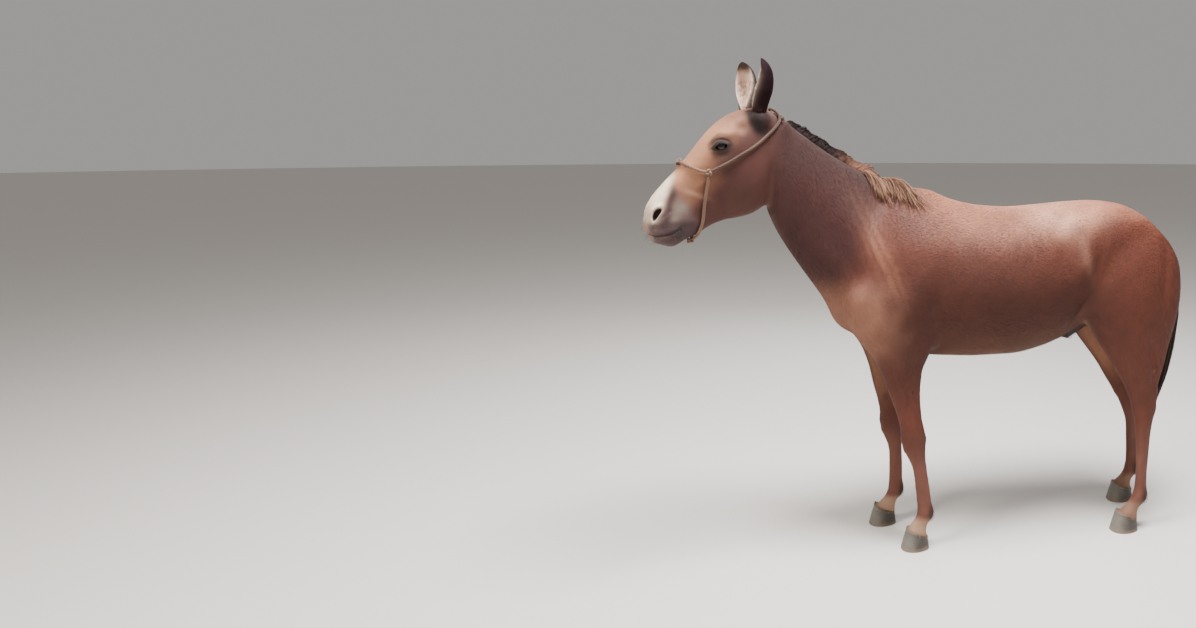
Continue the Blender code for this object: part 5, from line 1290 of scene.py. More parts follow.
def ear_colours(points, at, angle, inside):
    """Dark behind, tan inside painted pale as painted light in the cup, with a pale rim, and dark again at
    the foot and at the very tip.
    """
    fine = wander(points, 60, 5)
    colours = np.tile(EAR_DARK, (len(points), 1))
    rim = np.exp(-np.minimum(angle, 1 - angle) / 0.05)
    # The inside is painted paler than its own colour: painted light in the shaded cup.
    colours = np.where(inside[:, None], mixed(np.tile(EAR_INSIDE_AND_LIGHT, (len(points), 1)), EAR_RIM, rim), colours)
    colours = mixed(colours, EAR_RIM, 0.3 * rim * ~inside * (1 - smooth_step(at, 0.6, 0.9)))
    colours = mixed(colours, EAR_DARK, 0.8 * inside * (1 - smooth_step(at, 0.0, 0.25)))
    return mixed(colours, EAR_DARK, 0.9 * smooth_step(at + 0.03 * fine, 0.78, 0.93))


ear_skin = coat_material("ear skin", 0.03)
for side, word in ((1, "left"), (-1, "right")):
    mesh, *cup_places = ear_mesh(side)
    paint(mesh, ear_colours(places_of(mesh), *cup_places))
    finished(f"ear_cup_{word}", mesh, ear_skin, [f"ear_{word}"])


# The hooves. Small, upright walls of grey horn with growth rings and fine upright fibres, paler at the toe, a
# cleft between the heels, and dust on the lower edge. They carry the animal flat on the floor.

# X of the middle, and Y of toe and heel.
HOOVES = {
    "hoof_fore_left": (0.131, -0.02, 0.096),
    "hoof_fore_right": (-0.131, -0.1, 0.018),
    "hoof_hind_left": (0.151, 0.868, 0.988),
    "hoof_hind_right": (-0.151, 0.996, 1.116),
}
TOE_HEIGHT, HEEL_HEIGHT, TOE_SLOPE, HOOF_WIDTH = 0.08, 0.048, 0.024, 0.1
HORN_GREY = (0.052, 0.045, 0.039)
HORN_PALE = (0.19, 0.175, 0.145)
DUST = (0.24, 0.16, 0.105)


def hoof_rings(name):
    """Outlines from the ground to the coronet: squared ovals that shrink and slide back, with faint rings."""
    middle, toe, heel = HOOVES[name]
    turn = np.linspace(0, 2 * math.pi, 72, endpoint=False)[None]
    up = np.concatenate([[0, 0.004, 0.02], np.linspace(0.05, 0.9, 34), [0.925, 0.95, 0.975, 1.0]])[:, None]
    front, back = toe + TOE_SLOPE, heel - 0.006
    slope = (TOE_HEIGHT - HEEL_HEIGHT) / (back - front)
    growth = 0.00025 * np.sin(up * 58 + 0.6 * np.sin(turn * 2)) * (up < 0.9) * smooth_step(up, 0.05, 0.15)
    band = 0.0016 * bell(up, 0.95, 0.035) + growth - 0.002 * (up < 0.002)
    y_front = toe + TOE_SLOPE * up - band
    y_back = heel - (0.002 + 0.008 * up) + band
    half = HOOF_WIDTH / 2 * (1 - 0.17 * up) + band
    ahead, out = squarer(np.cos(turn), 0.86), squarer(np.sin(turn), 0.86)
    narrow = 1 - 0.16 * np.clip(-ahead, 0, 1)
    cleft = 0.012 * np.exp(-((np.sin(turn) / 0.14) ** 2)) * (np.cos(turn) < 0) * (1 - 0.3 * up)
    y = (y_front + y_back) / 2 - (y_back - y_front) / 2 * ahead - cleft
    coronet = TOE_HEIGHT - slope * (y - front) + 0.002
    return np.stack([middle + half * out * narrow, y, up * coronet], axis=-1)


def horn_material():
    """Grey horn: growth rings from wavy bands of height, upright fibres from noise drawn out in height."""
    made, tree, shader = new_material("hoof horn", 0.6, Specular_IOR_Level=0.3)
    where = own_places(tree)
    fibres = noise(tree, where, 420, 3, 0.6, (1, 1, 0.08))
    rings = node(tree, "ShaderNodeTexWave", bands_direction="Z", Vector=where, Scale=42, Distortion=3,
                 Detail=2, Detail_Scale=1.5)
    both = node(tree, "ShaderNodeMath", operation="ADD", _0=fibres, _1=rings.outputs["Fac"]).outputs[0]
    shade = between(tree, both, 0.82, 1.2, most=2.0)
    dress(tree, shader, shade, between(tree, fibres, 0.35, 0.7), relief(tree, both, 0.5, 0.0006))
    return made


horn = horn_material()
for name, (_, toe, _) in HOOVES.items():
    mesh = turned_out(mesh_of(name, *closed_loft(hoof_rings(name))))
    points = places_of(mesh)
    colours = np.tile(HORN_GREY, (len(points), 1))
    toe_share = 1 - smooth_step(points[:, 1] + 0.01 * wander(points, 80, 6), toe + 0.01, toe + 0.07)
    colours = mixed(colours, HORN_PALE, 0.75 * toe_share)
    dusty = 1 - smooth_step(points[:, 2] + 0.006 * wander(points, 120, 7), 0.002, 0.02)
    paint(mesh, mixed(colours, DUST, 0.55 * dusty))
    finished(f"horn_{name[5:]}", mesh, horn, [name])


# The mane. Coarse hair rooted along the crest: dark, upright and bent over to the far side behind the ears,
# then longer, red to straw blond at the withers, where it falls to the near side. Each lock is a closed form.

# From Y, to Y, side it falls to, locks, rise over the crest, length of the fall, how short the first and the
# last locks are and how fast they lengthen, how much clumps differ in length and in lean, lean of the fall.
MANE_BANDS = (
    (-0.43, -0.085, -1, 1700, 0.05, 0.07, (0.62, 2.6), (0.7, 2.4), 0.28, 0.45, 0.3),
    (-0.15, 0.01, 1, 760, 0.032, 0.11, (0.6, 2.0), (0.72, 1.6), 0.75, 0.8, 0.55),
)
MANE_DARK = (0.022, 0.013, 0.012)
MANE_RED = (0.17, 0.078, 0.052)
MANE_BLOND = (0.31, 0.17, 0.11)
MANE_CREST_WIDTH = 0.011
LOCK_STEPS = 8
PATCH = 0.003  # of a tuft on the map for baking


def lock_points(paths, outs, widths, thickness):
    """Three-sided locks: at each step two edge points across the path and one raised between, then a tip."""
    tangents = np.gradient(paths, axis=1)
    across = unit(np.cross(tangents, outs))
    raised_way = unit(np.cross(across, tangents))
    t = np.linspace(0, 1, paths.shape[1])[None, :, None]
    half = widths[:, None, None] / 2 * (0.55 + 1.5 * t - 1.9 * t**2).clip(0.03)
    deep = thickness[:, None, None] * (1 - 0.85 * t)
    rings = np.stack([paths + across * half, paths + raised_way * deep, paths - across * half], axis=2)
    body = rings[:, :-1].reshape(len(paths), -1, 3)
    return np.concatenate([body, paths[:, -1:]], axis=1)


def lock_faces(number, steps):
    """Squares up the three sides, a triangle under the root and three at the tip, for every lock."""
    rows = steps - 1
    quads = quads_of(rows, 3)
    tip = rows * 3
    last = tip - 3 + np.arange(3)
    ends = np.concatenate([np.stack([last, np.roll(last, -1), np.full(3, tip)], axis=-1), [[2, 1, 0]]])
    starts = (np.arange(number) * (tip + 1))[:, None, None]
    return (quads[None] + starts).reshape(-1, 4), (ends[None] + starts).reshape(-1, 3)


def add_map(mesh, name, places):
    """A UV map that gives each vertex its place."""
    mesh.uv_layers.new(name=name).data.foreach_set("uv", places[corners_of(mesh)].astype(np.float32).ravel())


def hair_mesh(name, paths, outs, widths, thickness, roots, colours):
    """Locks as one mesh, with a colour for each step of a path and a patch of the map OFBake for each."""
    number, steps = paths.shape[:2]
    points = lock_points(paths, outs, widths, thickness)
    quads, ends = lock_faces(number, steps)
    root_facing = np.cross(points[:, 1] - points[:, 0], points[:, 2] - points[:, 0])
    inward = np.einsum("nk,nk->n", root_facing, paths[:, 1] - paths[:, 0]) > 0
    if inward.mean() > 0.5:
        quads, ends = quads[:, ::-1], ends[:, ::-1]
    mesh = mesh_of(name, points.reshape(-1, 3), quads, ends)
    step_of = np.concatenate([np.repeat(np.arange(steps - 1), 3), [steps - 1]])
    paint(mesh, colours[:, step_of].reshape(-1, 3))
    sideways = np.concatenate([np.tile([-0.5, 0, 0.5], steps - 1), [0]])
    patch = np.stack([sideways, step_of / (steps - 1) - 0.5], axis=-1) * PATCH
    places = (np.clip(roots, PATCH, 1 - PATCH)[:, None] + patch[None]).reshape(-1, 2)
    add_map(mesh, "OFBake", places)
    return mesh


def bezier(controls, steps):
    """Paths through the four control points of each lock by the cubic curve's weights."""
    t = np.linspace(0, 1, steps)[None, :, None]
    a, b, c, d = (controls[:, i : i + 1] for i in range(4))
    return (1 - t) ** 3 * a + 3 * (1 - t) ** 2 * t * b + 3 * (1 - t) * t**2 * c + t**3 * d


def hair_material(name):
    """Hair colour varied from lock to lock, with a soft gloss drawn along each lock."""
    made, tree, shader = new_material(name, 0.6, Specular_IOR_Level=0.12)
    strands = noise(tree, own_places(tree), 700, 4, 0.7, (1, 1, 0.12))
    roughness = between(tree, strands, 0.45, 0.8)
    dress(tree, shader, between(tree, strands, 0.55, 1.5), roughness, relief(tree, strands, 0.6, 0.0006))
    return made


def triangles_of(mesh):
    mesh.calc_loop_triangles()
    return numbers(mesh, "loop_triangles", "vertices", 3, np.int32)


def search_tree(mesh):
    """The mesh's triangles, sorted for finding the nearest place on them."""
    return BVHTree.FromPolygons(places_of(mesh).tolist(), triangles_of(mesh).tolist())


def nearest(tree, points):
    """The skin's nearest place and its direction out, for each point."""
    found = [tree.find_nearest(p) for p in np.asarray(points).reshape(-1, 3).tolist()]
    shape = np.asarray(points).shape
    return (np.array([f[0] for f in found]).reshape(shape), np.array([f[1] for f in found]).reshape(shape))


def kept_out(tree, paths, lift, first):
    """Paths moved so that from their step numbered first on they stay at least lift off the skin."""
    place_on, out = nearest(tree, paths[:, first:])
    height = np.einsum("nkc,nkc->nk", paths[:, first:] - place_on, out)
    missing = np.clip(lift - height, 0, None)
    paths = paths.copy()
    paths[:, first:] += out * missing[..., None]
    return paths


def crest_line(tree, y):
    """The crest's top over each Y, the way along it and the way square to it."""

    def top(at):
        return np.array([tree.ray_cast((float(bend_x(v)), float(v), 2.2), (0, 0, -1))[0] for v in at])

    here, ahead, behind = top(y), top(y - 0.012), top(y + 0.012)
    run = unit(behind - ahead)
    up = unit(np.cross(np.cross(run, (0, 0, 1.0)), run))
    return here, run, up


def together(parts):
    """The values of several parts, each kind joined end to end."""
    return (np.concatenate(values) for values in zip(*parts))


hide_tree = search_tree(hide)
mane_parts = []
for start, end, side, number, rise, fall, begun, ended, clumps, swing, back in MANE_BANDS:
    rng = np.random.default_rng(20 + side)
    share = (np.arange(number) + rng.uniform(0, 1, number)) / number
    y = start + (end - start) * share
    crest, run, up = crest_line(hide_tree, y)
    over = np.array([side, 0.0, 0.0])
    off = rng.uniform(-1, 1, number)[:, None]
    root = crest + over * off * MANE_CREST_WIDTH - up * (0.006 + 0.004 * off**2)
    grown = np.minimum(1, begun[0] + begun[1] * share) * np.minimum(1, ended[0] + ended[1] * (1 - share))
    grown = grown * rng.uniform(0.6, 1.15, number) * (1 + clumps * wander(crest, 110, 3)).clip(0.25)
    high = rise * grown[:, None]
    reach = fall * grown[:, None] * rng.uniform(0.75, 1.2, number)[:, None]
    lean = rng.normal(0, 0.18, number)[:, None]
    tuft_lean = swing * wander(crest, 130, 4)[:, None]
    first = root + up * high * 0.9 + run * high * (0.15 + lean)
    second = root + up * high * 1.25 + over * high * (1.0 + 0.3 * off)
    second += run * (high * 0.45 + reach * back * 0.4)
    last = root + over * (high * 1.25 + 0.01) + np.array([0, 0, -1.0]) * reach * (1.1 - 0.45 * back)
    last += run * reach * (back + tuft_lean + lean)
    paths = bezier(np.stack([root, first, second, last], axis=1), LOCK_STEPS)
    paths = kept_out(hide_tree, paths, 0.004 + 0.004 * rng.uniform(0, 1, (number, 1)), 3)
    outs = np.broadcast_to(up[:, None] + over, paths.shape)
    red = smooth_step(y + 0.03 * wander(crest, 40, 9), -0.28, -0.17)
    blond = smooth_step(y + 0.02 * wander(crest, 60, 8), -0.28, -0.14)
    tone = mixed(np.tile(MANE_DARK, (number, 1)), MANE_RED, red)
    shade = (rng.uniform(0.5, 1.45, number) * (1 + 0.3 * wander(crest, 170, 10)))[:, None]
    t = np.linspace(0, 1, LOCK_STEPS)[None, :, None]
    tips = mixed(tone, MANE_BLOND, blond * rng.uniform(0.1, 1.0, number) ** 0.7)
    colours = (tone[:, None] + (tips - tone)[:, None] * np.clip(t * 1.5 - 0.15, 0, 1)) * shade[:, None]
    roots = np.stack([0.05 + 0.9 * (y + 0.43) / 0.48, 0.3 * (side > 0) + 0.2 + 0.1 * off[:, 0]], axis=-1)
    widths, thickness = rng.uniform(0.0022, 0.0046, number), rng.uniform(0.0009, 0.0016, number)
    mane_parts.append((paths, outs, widths, thickness, roots, colours))

finished("mane", hair_mesh("mane", *together(mane_parts)), hair_material("mane hair"))


# The tail. A dock of flesh with short brown hair, from which long black hair hangs to the hocks, full behind
# the thighs and drawn together to a thin end.

TAIL_ROOTS = (1.19, 0.9)  # heights between which the long hair grows
TAIL_TIPS = (0.74, 0.47)  # heights between which it ends
TAIL_LOCKS = 2600
TAIL_STEPS = 11
TAIL_BLACK = (0.014, 0.009, 0.009)
TAIL_BROWN = (0.1, 0.038, 0.024)
# Height, and radius of the hanging hair there.
TAIL_SPREAD = (
    (1.2, 0.026), (1.1, 0.031), (1, 0.039), (0.9, 0.048), (0.76, 0.053), (0.62, 0.044), (0.5, 0.02),
    (0.44, 0.008),
)


def tail_line(z):
    """The tail's middle line behind the hind legs, at heights."""
    points = np.array([p for p, _ in DOCK[2:]] + [(0, 1.13, 0.8), (0, 1.112, 0.62), (0, 1.1, 0.48)])
    return along(points[:, 2], points, np.ravel(z)).reshape(*np.shape(z), 3)


dock_stations = [(p, r + 0.001) for p, r in DOCK[1:]]
dock_mesh = turned_out(mesh_of("dock", *closed_loft(tube_rings(dock_stations, 60, 32))))
points = places_of(dock_mesh)
lower_end = 1 - smooth_step(points[:, 2] + 0.02 * wander(points, 50, 12), 0.98, 1.16)
paint(dock_mesh, mixed(markings(points, normals_of(dock_mesh)), DARK_TUFT, lower_end))
finished("dock", dock_mesh, coat)

rng = np.random.default_rng(31)
root_z = TAIL_ROOTS[0] + (TAIL_ROOTS[1] - TAIL_ROOTS[0]) * rng.uniform(0, 1, TAIL_LOCKS) ** 0.8
turn = rng.uniform(0, 2 * math.pi, TAIL_LOCKS)
out = np.stack([np.sin(turn), np.cos(turn), np.zeros(TAIL_LOCKS)], axis=-1)
high_root = root_z > 1.02
turned_back = np.where(out[high_root, 1:2] < -0.2, (1, -0.6, 1), (1, 1, 1))
out[high_root] = unit(out[high_root] * (0.9, 1, 1) * turned_back)
full = rng.uniform(0.15, 1, TAIL_LOCKS) ** 0.5
clump = 0.16 * np.sin(5 * turn + 0.7) + 0.1 * np.sin(11 * turn)
tip_share = np.clip(rng.uniform(0, 1, TAIL_LOCKS) ** 0.45 + 0.5 * clump, 0, 1)
tip_z = TAIL_TIPS[0] + (TAIL_TIPS[1] - TAIL_TIPS[0]) * tip_share
t = np.linspace(0, 1, TAIL_STEPS)[None]
z = root_z[:, None] + (tip_z - root_z)[:, None] * t**1.15 + 0.0036 * np.sin(math.pi * np.clip(t * 4, 0, 1))
dock_places, dock_radii = (np.array(values) for values in zip(*DOCK[2:]))
dock_radius = along(dock_places[:, 2], dock_radii, root_z)[:, None]
spread = np.array(TAIL_SPREAD)
wide = along(spread[:, 0], spread[:, 1], z.ravel()).reshape(z.shape) * full[:, None] * (1 + clump[:, None])
grown = smooth_step(t, 0.0, 0.3)
reach = (dock_radius - 0.004) * (1 - grown) + np.maximum(wide, dock_radius * (1 - t) ** 2 * 0.8) * grown
wave = 0.004 * np.sin(9 * t + 6.3 * rng.uniform(0, 1, (TAIL_LOCKS, 1)) + 3 * turn[:, None]) * t
hung = out[:, None] * reach[..., None]
hung[..., 1] *= np.where(hung[..., 1] < 0, 1 - 0.8 * smooth_step(z, 0.74, 0.88), 1)
across = np.stack([out[:, 1], -out[:, 0], np.zeros(TAIL_LOCKS)], axis=-1)
paths = tail_line(z) + hung + across[:, None] * wave[..., None]
paths[..., 2] = z
outs = np.broadcast_to(out[:, None], paths.shape)
shade = rng.uniform(0.6, 1.5, TAIL_LOCKS)[:, None]
tone = mixed(np.tile(TAIL_BLACK, (TAIL_LOCKS, 1)), TAIL_BROWN, smooth_step(root_z, 1.06, 1.18) * 0.8) * shade
colours = tone[:, None] * (1 - 0.4 * t[..., None]) + np.array(TAIL_BLACK) * 0.4 * t[..., None]
roots = np.stack([0.02 + 0.96 * turn / (2 * math.pi), 0.05 + 0.9 * (root_z - 0.89) / 0.27], axis=-1)
widths, thickness = rng.uniform(0.004, 0.0075, TAIL_LOCKS), rng.uniform(0.0012, 0.0022, TAIL_LOCKS)
tail = hair_mesh("tail_hair", paths, outs, widths, thickness, roots, colours)
finished("tail_hair", tail, hair_material("tail hair"), ["tail"])


# The halter. One three-strand rope of pale straw-coloured fibre, tied round nose, jaw and poll, with knots at
# the cheeks, over the nose, under the chin and behind the near ear. It lies on the hair, held by its knots.

ROPE_RADIUS = 0.0055
KNOT_ROPE_RADIUS = 0.0043  # drawn tight
ROPE_LIFT = 0.0022  # off the tips of the coat
ROPE_SPACING = 0.0016  # between the rings of a rope
STRAND_TURN = 0.034  # length in which a strand goes once round
CHEEK_KNOT = (0.081, -0.73, 1.483)
BRIDGE_KNOT = (0, -0.8, 1.513)
CHIN_KNOT = (0, -0.782, 1.244)
POLL_KNOT = (0.043, -0.47, 1.662)
# Each rope's left half, from the cheek's knot to the middle plane: side, Y and Z in the head.
NOSE_ROPE = (CHEEK_KNOT, (0.066, -0.766, 1.493), (0.036, -0.795, 1.507), BRIDGE_KNOT)
JAW_ROPE = (
    CHEEK_KNOT, (0.072, -0.738, 1.43), (0.057, -0.745, 1.377), (0.04, -0.75, 1.31), (0.02, -0.772, 1.262),
    CHIN_KNOT,
)
CROWN_ROPE = (
    CHEEK_KNOT, (0.096, -0.666, 1.519), (0.1, -0.62, 1.547), (0.093, -0.574, 1.573), (0.066, -0.505, 1.63),
    (0.043, -0.468, 1.664), (0.022, -0.487, 1.69), (0, -0.494, 1.7),
)
STRAW = (0.19, 0.106, 0.069)


def even_path(points, spacing):
    """Points at even steps along a path."""
    points = np.asarray(points, float)
    reach = way_along(points)
    return along(reach, points, np.linspace(0, reach[-1], max(2, round(reach[-1] / spacing) + 1)))


def laid_rope(path):
    """The rope's middle line: its places brought onto the skin, evened out and lifted clear of the hair."""
    both = list(path) + [(-s, y, z) for s, y, z in path[-2::-1]]
    points = even_path([in_head(*p) for p in both], 0.012)
    on, out = nearest(hide_tree, points)
    points = on + out * 0.01
    for _ in range(4):
        points[1:-1] = (points[:-2] + 2 * points[1:-1] + points[2:]) / 4
    on, out = nearest(hide_tree, points)
    lifted = on + out * (ROPE_RADIUS + ROPE_LIFT + COAT_DEPTH)
    for _ in range(2):
        lifted[1:-1] = (lifted[:-2] + 2 * lifted[1:-1] + lifted[2:]) / 4
    return lifted


def rope_tube(line, radius, closed=False):
    """Three strands laid up: a round profile with three lobes that turns as it is carried along the line."""
    line = even_path(line, ROPE_SPACING)
    tangent = unit(np.gradient(line, axis=0))
    if closed:
        tangent[0] = tangent[-1] = unit(tangent[0] + tangent[-1])
    side = unit(np.cross(tangent, (0.31, 0.22, 0.92)))
    other = np.cross(tangent, side)
    reach = way_along(line)
    turn = np.linspace(0, 2 * math.pi, 24, endpoint=False)[None]
    lay = turn - 2 * math.pi * reach[:, None] / STRAND_TURN
    lobes = radius * (0.8 + 0.2 * np.abs(np.cos(1.5 * lay)) ** 0.8)
    outward = np.cos(turn)[..., None] * side[:, None] + np.sin(turn)[..., None] * other[:, None]
    return line[:, None] + lobes[..., None] * outward, lay, np.broadcast_to(reach[:, None], lay.shape)


def knot_line(centre, out, run, size, flat):
    """A rope wound over itself: a three-leaved knot curve lying on the skin, flattened along the way out."""
    run = unit(run - out * (run @ out))
    across = np.cross(out, run)
    t = np.linspace(0, 2 * math.pi, 120)
    x = (np.sin(t) + 2 * np.sin(2 * t)) / 3
    y = (np.cos(t) - 2 * np.cos(2 * t)) / 3
    z = -np.sin(3 * t)
    return centre + size * (x[:, None] * run + y[:, None] * across) + flat * z[:, None] * out


def rope_material():
    """Twisted fibre: fine hairs at a slant, from the rope's own map, over the painted colour, which has
    painted shade in the furrows between strands.
    """
    made, tree, shader = new_material("halter rope", 0.85, Specular_IOR_Level=0.25, Sheen_Weight=0.1)
    own_map = node(tree, "ShaderNodeUVMap", uv_map="rope").outputs[0]
    fibres = noise(tree, own_map, 9, 5, 0.7, (6, 60, 1))
    dress(tree, shader, between(tree, fibres, 0.62, 1.32), normal=relief(tree, fibres, 0.6, 0.0008))
    return made


def rope_mesh(name, tubes, light):
    """Closed tubes as one mesh, with painted shade between the strands and over a whole rope by its given
    lightness, with a map of lay and length.
    """
    lofts, colours, maps = [], [], []
    for rings, lay, reach in tubes:
        lofts.append(closed_loft(rings))
        strand = np.abs(np.cos(1.5 * lay))
        # Painted shade in the furrows between the strands.
        tone = np.array(STRAW) * (0.38 + 0.62 * smooth_step(strand, 0.05, 0.6))[..., None]
        tone = tone * light * (1 + 0.12 * np.sin(reach * 40))[..., None]
        colours.append(np.concatenate([tone.reshape(-1, 3), np.tile(STRAW, (2, 1))]))
        round_it = np.broadcast_to(np.linspace(0, 1, lay.shape[1])[None], lay.shape)
        places = np.stack([round_it, reach / 0.3], axis=-1)
        maps.append(np.concatenate([places.reshape(-1, 2), np.zeros((2, 2))]))
    mesh = turned_out(mesh_of(name, *joined(lofts)))
    paint(mesh, np.concatenate(colours))
    add_map(mesh, "rope", np.concatenate(maps))
    return mesh


def knot_tube(place, size, flat, run):
    """A knot's rope, wound on the skin near a place given by side, Y and Z in the head."""
    on, out = nearest(hide_tree, in_head(*place)[None])
    centre = on[0] + out[0] * (flat + ROPE_RADIUS * 0.8 + COAT_DEPTH)
    return rope_tube(knot_line(centre, out[0], np.array(run), size, flat), KNOT_ROPE_RADIUS, closed=True)


straw_rope = rope_material()
cheeks = CHEEK_KNOT, (-CHEEK_KNOT[0], *CHEEK_KNOT[1:])
cheek_knots = [knot_tube(cheek, 0.0095, 0.0045, (0, 0.6, 0.6)) for cheek in cheeks]
# Name, line, knots, and how light the rope is left by painted shade: the crown rope, up the cheek to the poll
# and facing up to the light, is painted darker.
HALTER = (
    ("noseband", NOSE_ROPE, [knot_tube(BRIDGE_KNOT, 0.011, 0.0045, (1, 0, 0)), *cheek_knots], 1.0),
    ("jaw_rope", JAW_ROPE, [knot_tube(CHIN_KNOT, 0.0105, 0.005, (0, 0, 1))], 1.0),
    ("crown_rope", CROWN_ROPE, [knot_tube(POLL_KNOT, 0.008, 0.0035, (0, 0.5, 0.6))], 0.45),
)
for name, path, knots, light in HALTER:
    rope = rope_tube(laid_rope(path), ROPE_RADIUS)
    finished(name, rope_mesh(name, [rope, *knots], light), straw_rope, [f"halter_{name}"])


# The coat. Short flat hair over the whole hide, in thin tapered tufts that follow its lie: back along the
# trunk, down the neck and legs, down the face. It is finest on face and feet, and longer under the belly and
# behind the fetlocks.

# Name of the piece, tufts in it.
COAT_PIECES = (
    ("coat_head_left", 30000), ("coat_head_right", 30000), ("coat_neck", 40000), ("coat_trunk_left", 41000),
    ("coat_trunk_right", 41000), ("coat_quarter_left", 31000), ("coat_quarter_right", 31000),
    ("coat_forelegs", 26000), ("coat_hindlegs", 20000),
)
TUFT_ROOT_DEPTH = 0.0007
HAIRLINE = 0.058  # height to which the coat comes down on the feet


def coat_regions(points):
    """The coat piece that each point belongs to, as a place in COAT_PIECES."""
    x, y, z = points.T
    side = head_side(points)[:, 0]
    neck_edge = (y + 0.1) * -0.852 + (z - 1.185) * 0.524
    region = np.where(x > 0, 3, 4)
    region = np.where(y > 0.62, np.where(x > 0, 5, 6), region)
    region = np.where((z < 0.8) & (y < 0.4), 7, region)
    region = np.where((z < 0.72) & (y >= 0.4), 8, region)
    region = np.where((neck_edge > 0) & (z > 0.9), 2, region)
    return np.where(y < -0.5, np.where(side > 0, 0, 1), region)


def unwrapped(points, region):
    """Places on the skin's unwrap: way along each part's axis, and the turn round that axis."""
    x, y, z = points.T
    side, down, deep = face_places(points)
    if region < 2:
        return (down + 0.06) / 0.72, np.arctan2(side, 0.05 - deep) / math.pi
    if region == 2:
        way = 0.62 * (y + 0.5) - 0.78 * (z - 1.68)
        middle = 0.78 * (y + 0.3) + 0.62 * (z - 1.3)
        return (way + 0.1) / 0.95, np.arctan2(x - bend_x(y), middle) / (2 * math.pi) + 0.5
    if region in (3, 4):
        return (y + 0.3) / 0.95, np.arctan2(np.abs(x), z - 1.07) / math.pi
    if region in (5, 6):
        return (1.32 - z) / 0.65, np.arctan2(np.abs(x), y - 0.9) / math.pi
    middle_y = 0.05 if region == 7 else 0.98
    shift = shift_at(RIGHT_FORE_SHIFT if region == 7 else RIGHT_HIND_SHIFT, -1, z)
    ring = np.arctan2(np.abs(x) - 0.13, y - middle_y - np.where(x < 0, shift, 0)) / (2 * math.pi) + 0.5
    return 1 - z / 0.82, np.where(x > 0, ring * 0.48, 0.5 + ring * 0.48)


def hair_lie(points, normals):
    """The way the hair points: a fixed way for each part of the body, blended, swayed and laid flat."""
    _, y, z = points.T
    _, down, deep = face_places(points)
    way = np.tile((0, 1.0, -0.12), (len(points), 1))
    way = mixed(way, (0, 0.75, -0.55), smooth_step(1.25 - z, 0.0, 0.45))
    neck = smooth_step(before_trunk(y, z), 0.02, 0.2) * smooth_step(z, 0.95, 1.1)
    way = mixed(way, (0, 0.55, -0.83), neck)
    way = mixed(way, (0, 0.2, -1.0), smooth_step(-y, 0.08, 0.2) * (1 - smooth_step(z, 1.0, 1.15)))
    leg = (1 - smooth_step(z, 0.72, 0.95)) * (1 - smooth_step(np.abs(y - 0.42), -0.2, 0.28))
    way = mixed(way, (0, 0.12, -1.0), np.maximum(leg, 1 - smooth_step(z, 0.72, 0.86)))
    face = np.tile(0.74 * FORWARD - (0, 0, 0.67), (len(points), 1))
    cheek = smooth_step(deep, 0.03, 0.12) * (1 - smooth_step(down, 0.3, 0.42))
    face = mixed(face, -0.55 * FORWARD - (0, 0, 0.8), cheek)
    way = mixed(way, face, smooth_step(-y, 0.47, 0.55))
    way += 0.07 * np.stack([wander(points, 26, seed) for seed in (41, 42, 43)], axis=-1)
    way -= normals * np.einsum("nk,nk->n", way, normals)[:, None]
    return unit(way)


def tuft_sizes(points, normals):
    """Length, width and rise of a tuft at each point: small on head and feet, long below and at fetlocks."""
    z = points[:, 2]
    _, down, _ = face_places(points)
    head = head_share(points)
    lower = 1 - smooth_step(z, 0.35, 0.7)
    under = smooth_step(-normals[:, 2], 0.55, 0.95) * smooth_step(z, 0.65, 0.75) * (1 - head)
    behind = bell(z, 0.145, 0.03) * smooth_step(past_fetlock(points), -0.02, 0.005)
    length = 0.015 - 0.007 * np.maximum(head, 0.8 * lower) - 0.003 * head * smooth_step(down, 0.3, 0.45)
    width = 0.0021 - 0.0009 * np.maximum(head, 0.75 * lower)
    rise = 0.55 * COAT_DEPTH + 0.0016 * under + 0.005 * behind
    return length + 0.008 * under + 0.02 * behind, width, rise


def spread_roots(mesh, number_in, rng):
    """Roots spread evenly over the mesh's area within each region, with the skin's direction out at each."""
    corners, points, normals = triangles_of(mesh), places_of(mesh), normals_of(mesh)
    a, b, c = (points[corners[:, i]] for i in range(3))
    area = np.linalg.norm(np.cross(b - a, c - a), axis=1) / 2
    region = coat_regions((a + b + c) / 3)
    for place_in, (name, number) in enumerate(number_in):
        inside = np.flatnonzero((region == place_in) & (area > 0))
        reached = np.cumsum(area[inside])
        drawn = (np.arange(number) + rng.uniform(0, 1, number)) * reached[-1] / number
        picks = inside[np.searchsorted(reached, drawn).clip(0, len(inside) - 1)]
        u, v = rng.uniform(0, 1, (2, number))
        over = u + v > 1
        u, v = np.where(over, 1 - u, u)[:, None], np.where(over, 1 - v, v)[:, None]
        at = a[picks] + (b - a)[picks] * u + (c - a)[picks] * v
        n0, n1, n2 = (normals[corners[picks, i]] for i in range(3))
        yield place_in, name, at, unit(n0 + (n1 - n0) * u + (n2 - n0) * v)


def is_bare(points):
    """Whether each point grows no coat: on the eyes, in nostrils, between the lips, below the hairline."""
    bare = points[:, 2] <= HAIRLINE
    for side in (1, -1):
        out, across, up = along_axes(points, eye_axes(side))
        bare |= (out > -0.01) & (lid_measure(across, up) < 1.7)
        out, across, up = along_axes(points, nostril_axes(side))
        bare |= (np.abs(out) < 0.04) & (nostril_measure(across, up) < 1.5)
    over, ahead = mouth_parts(points)
    return bare | ((np.abs(over) < 0.006) & (ahead > 0) & (points[:, 1] < -0.7))


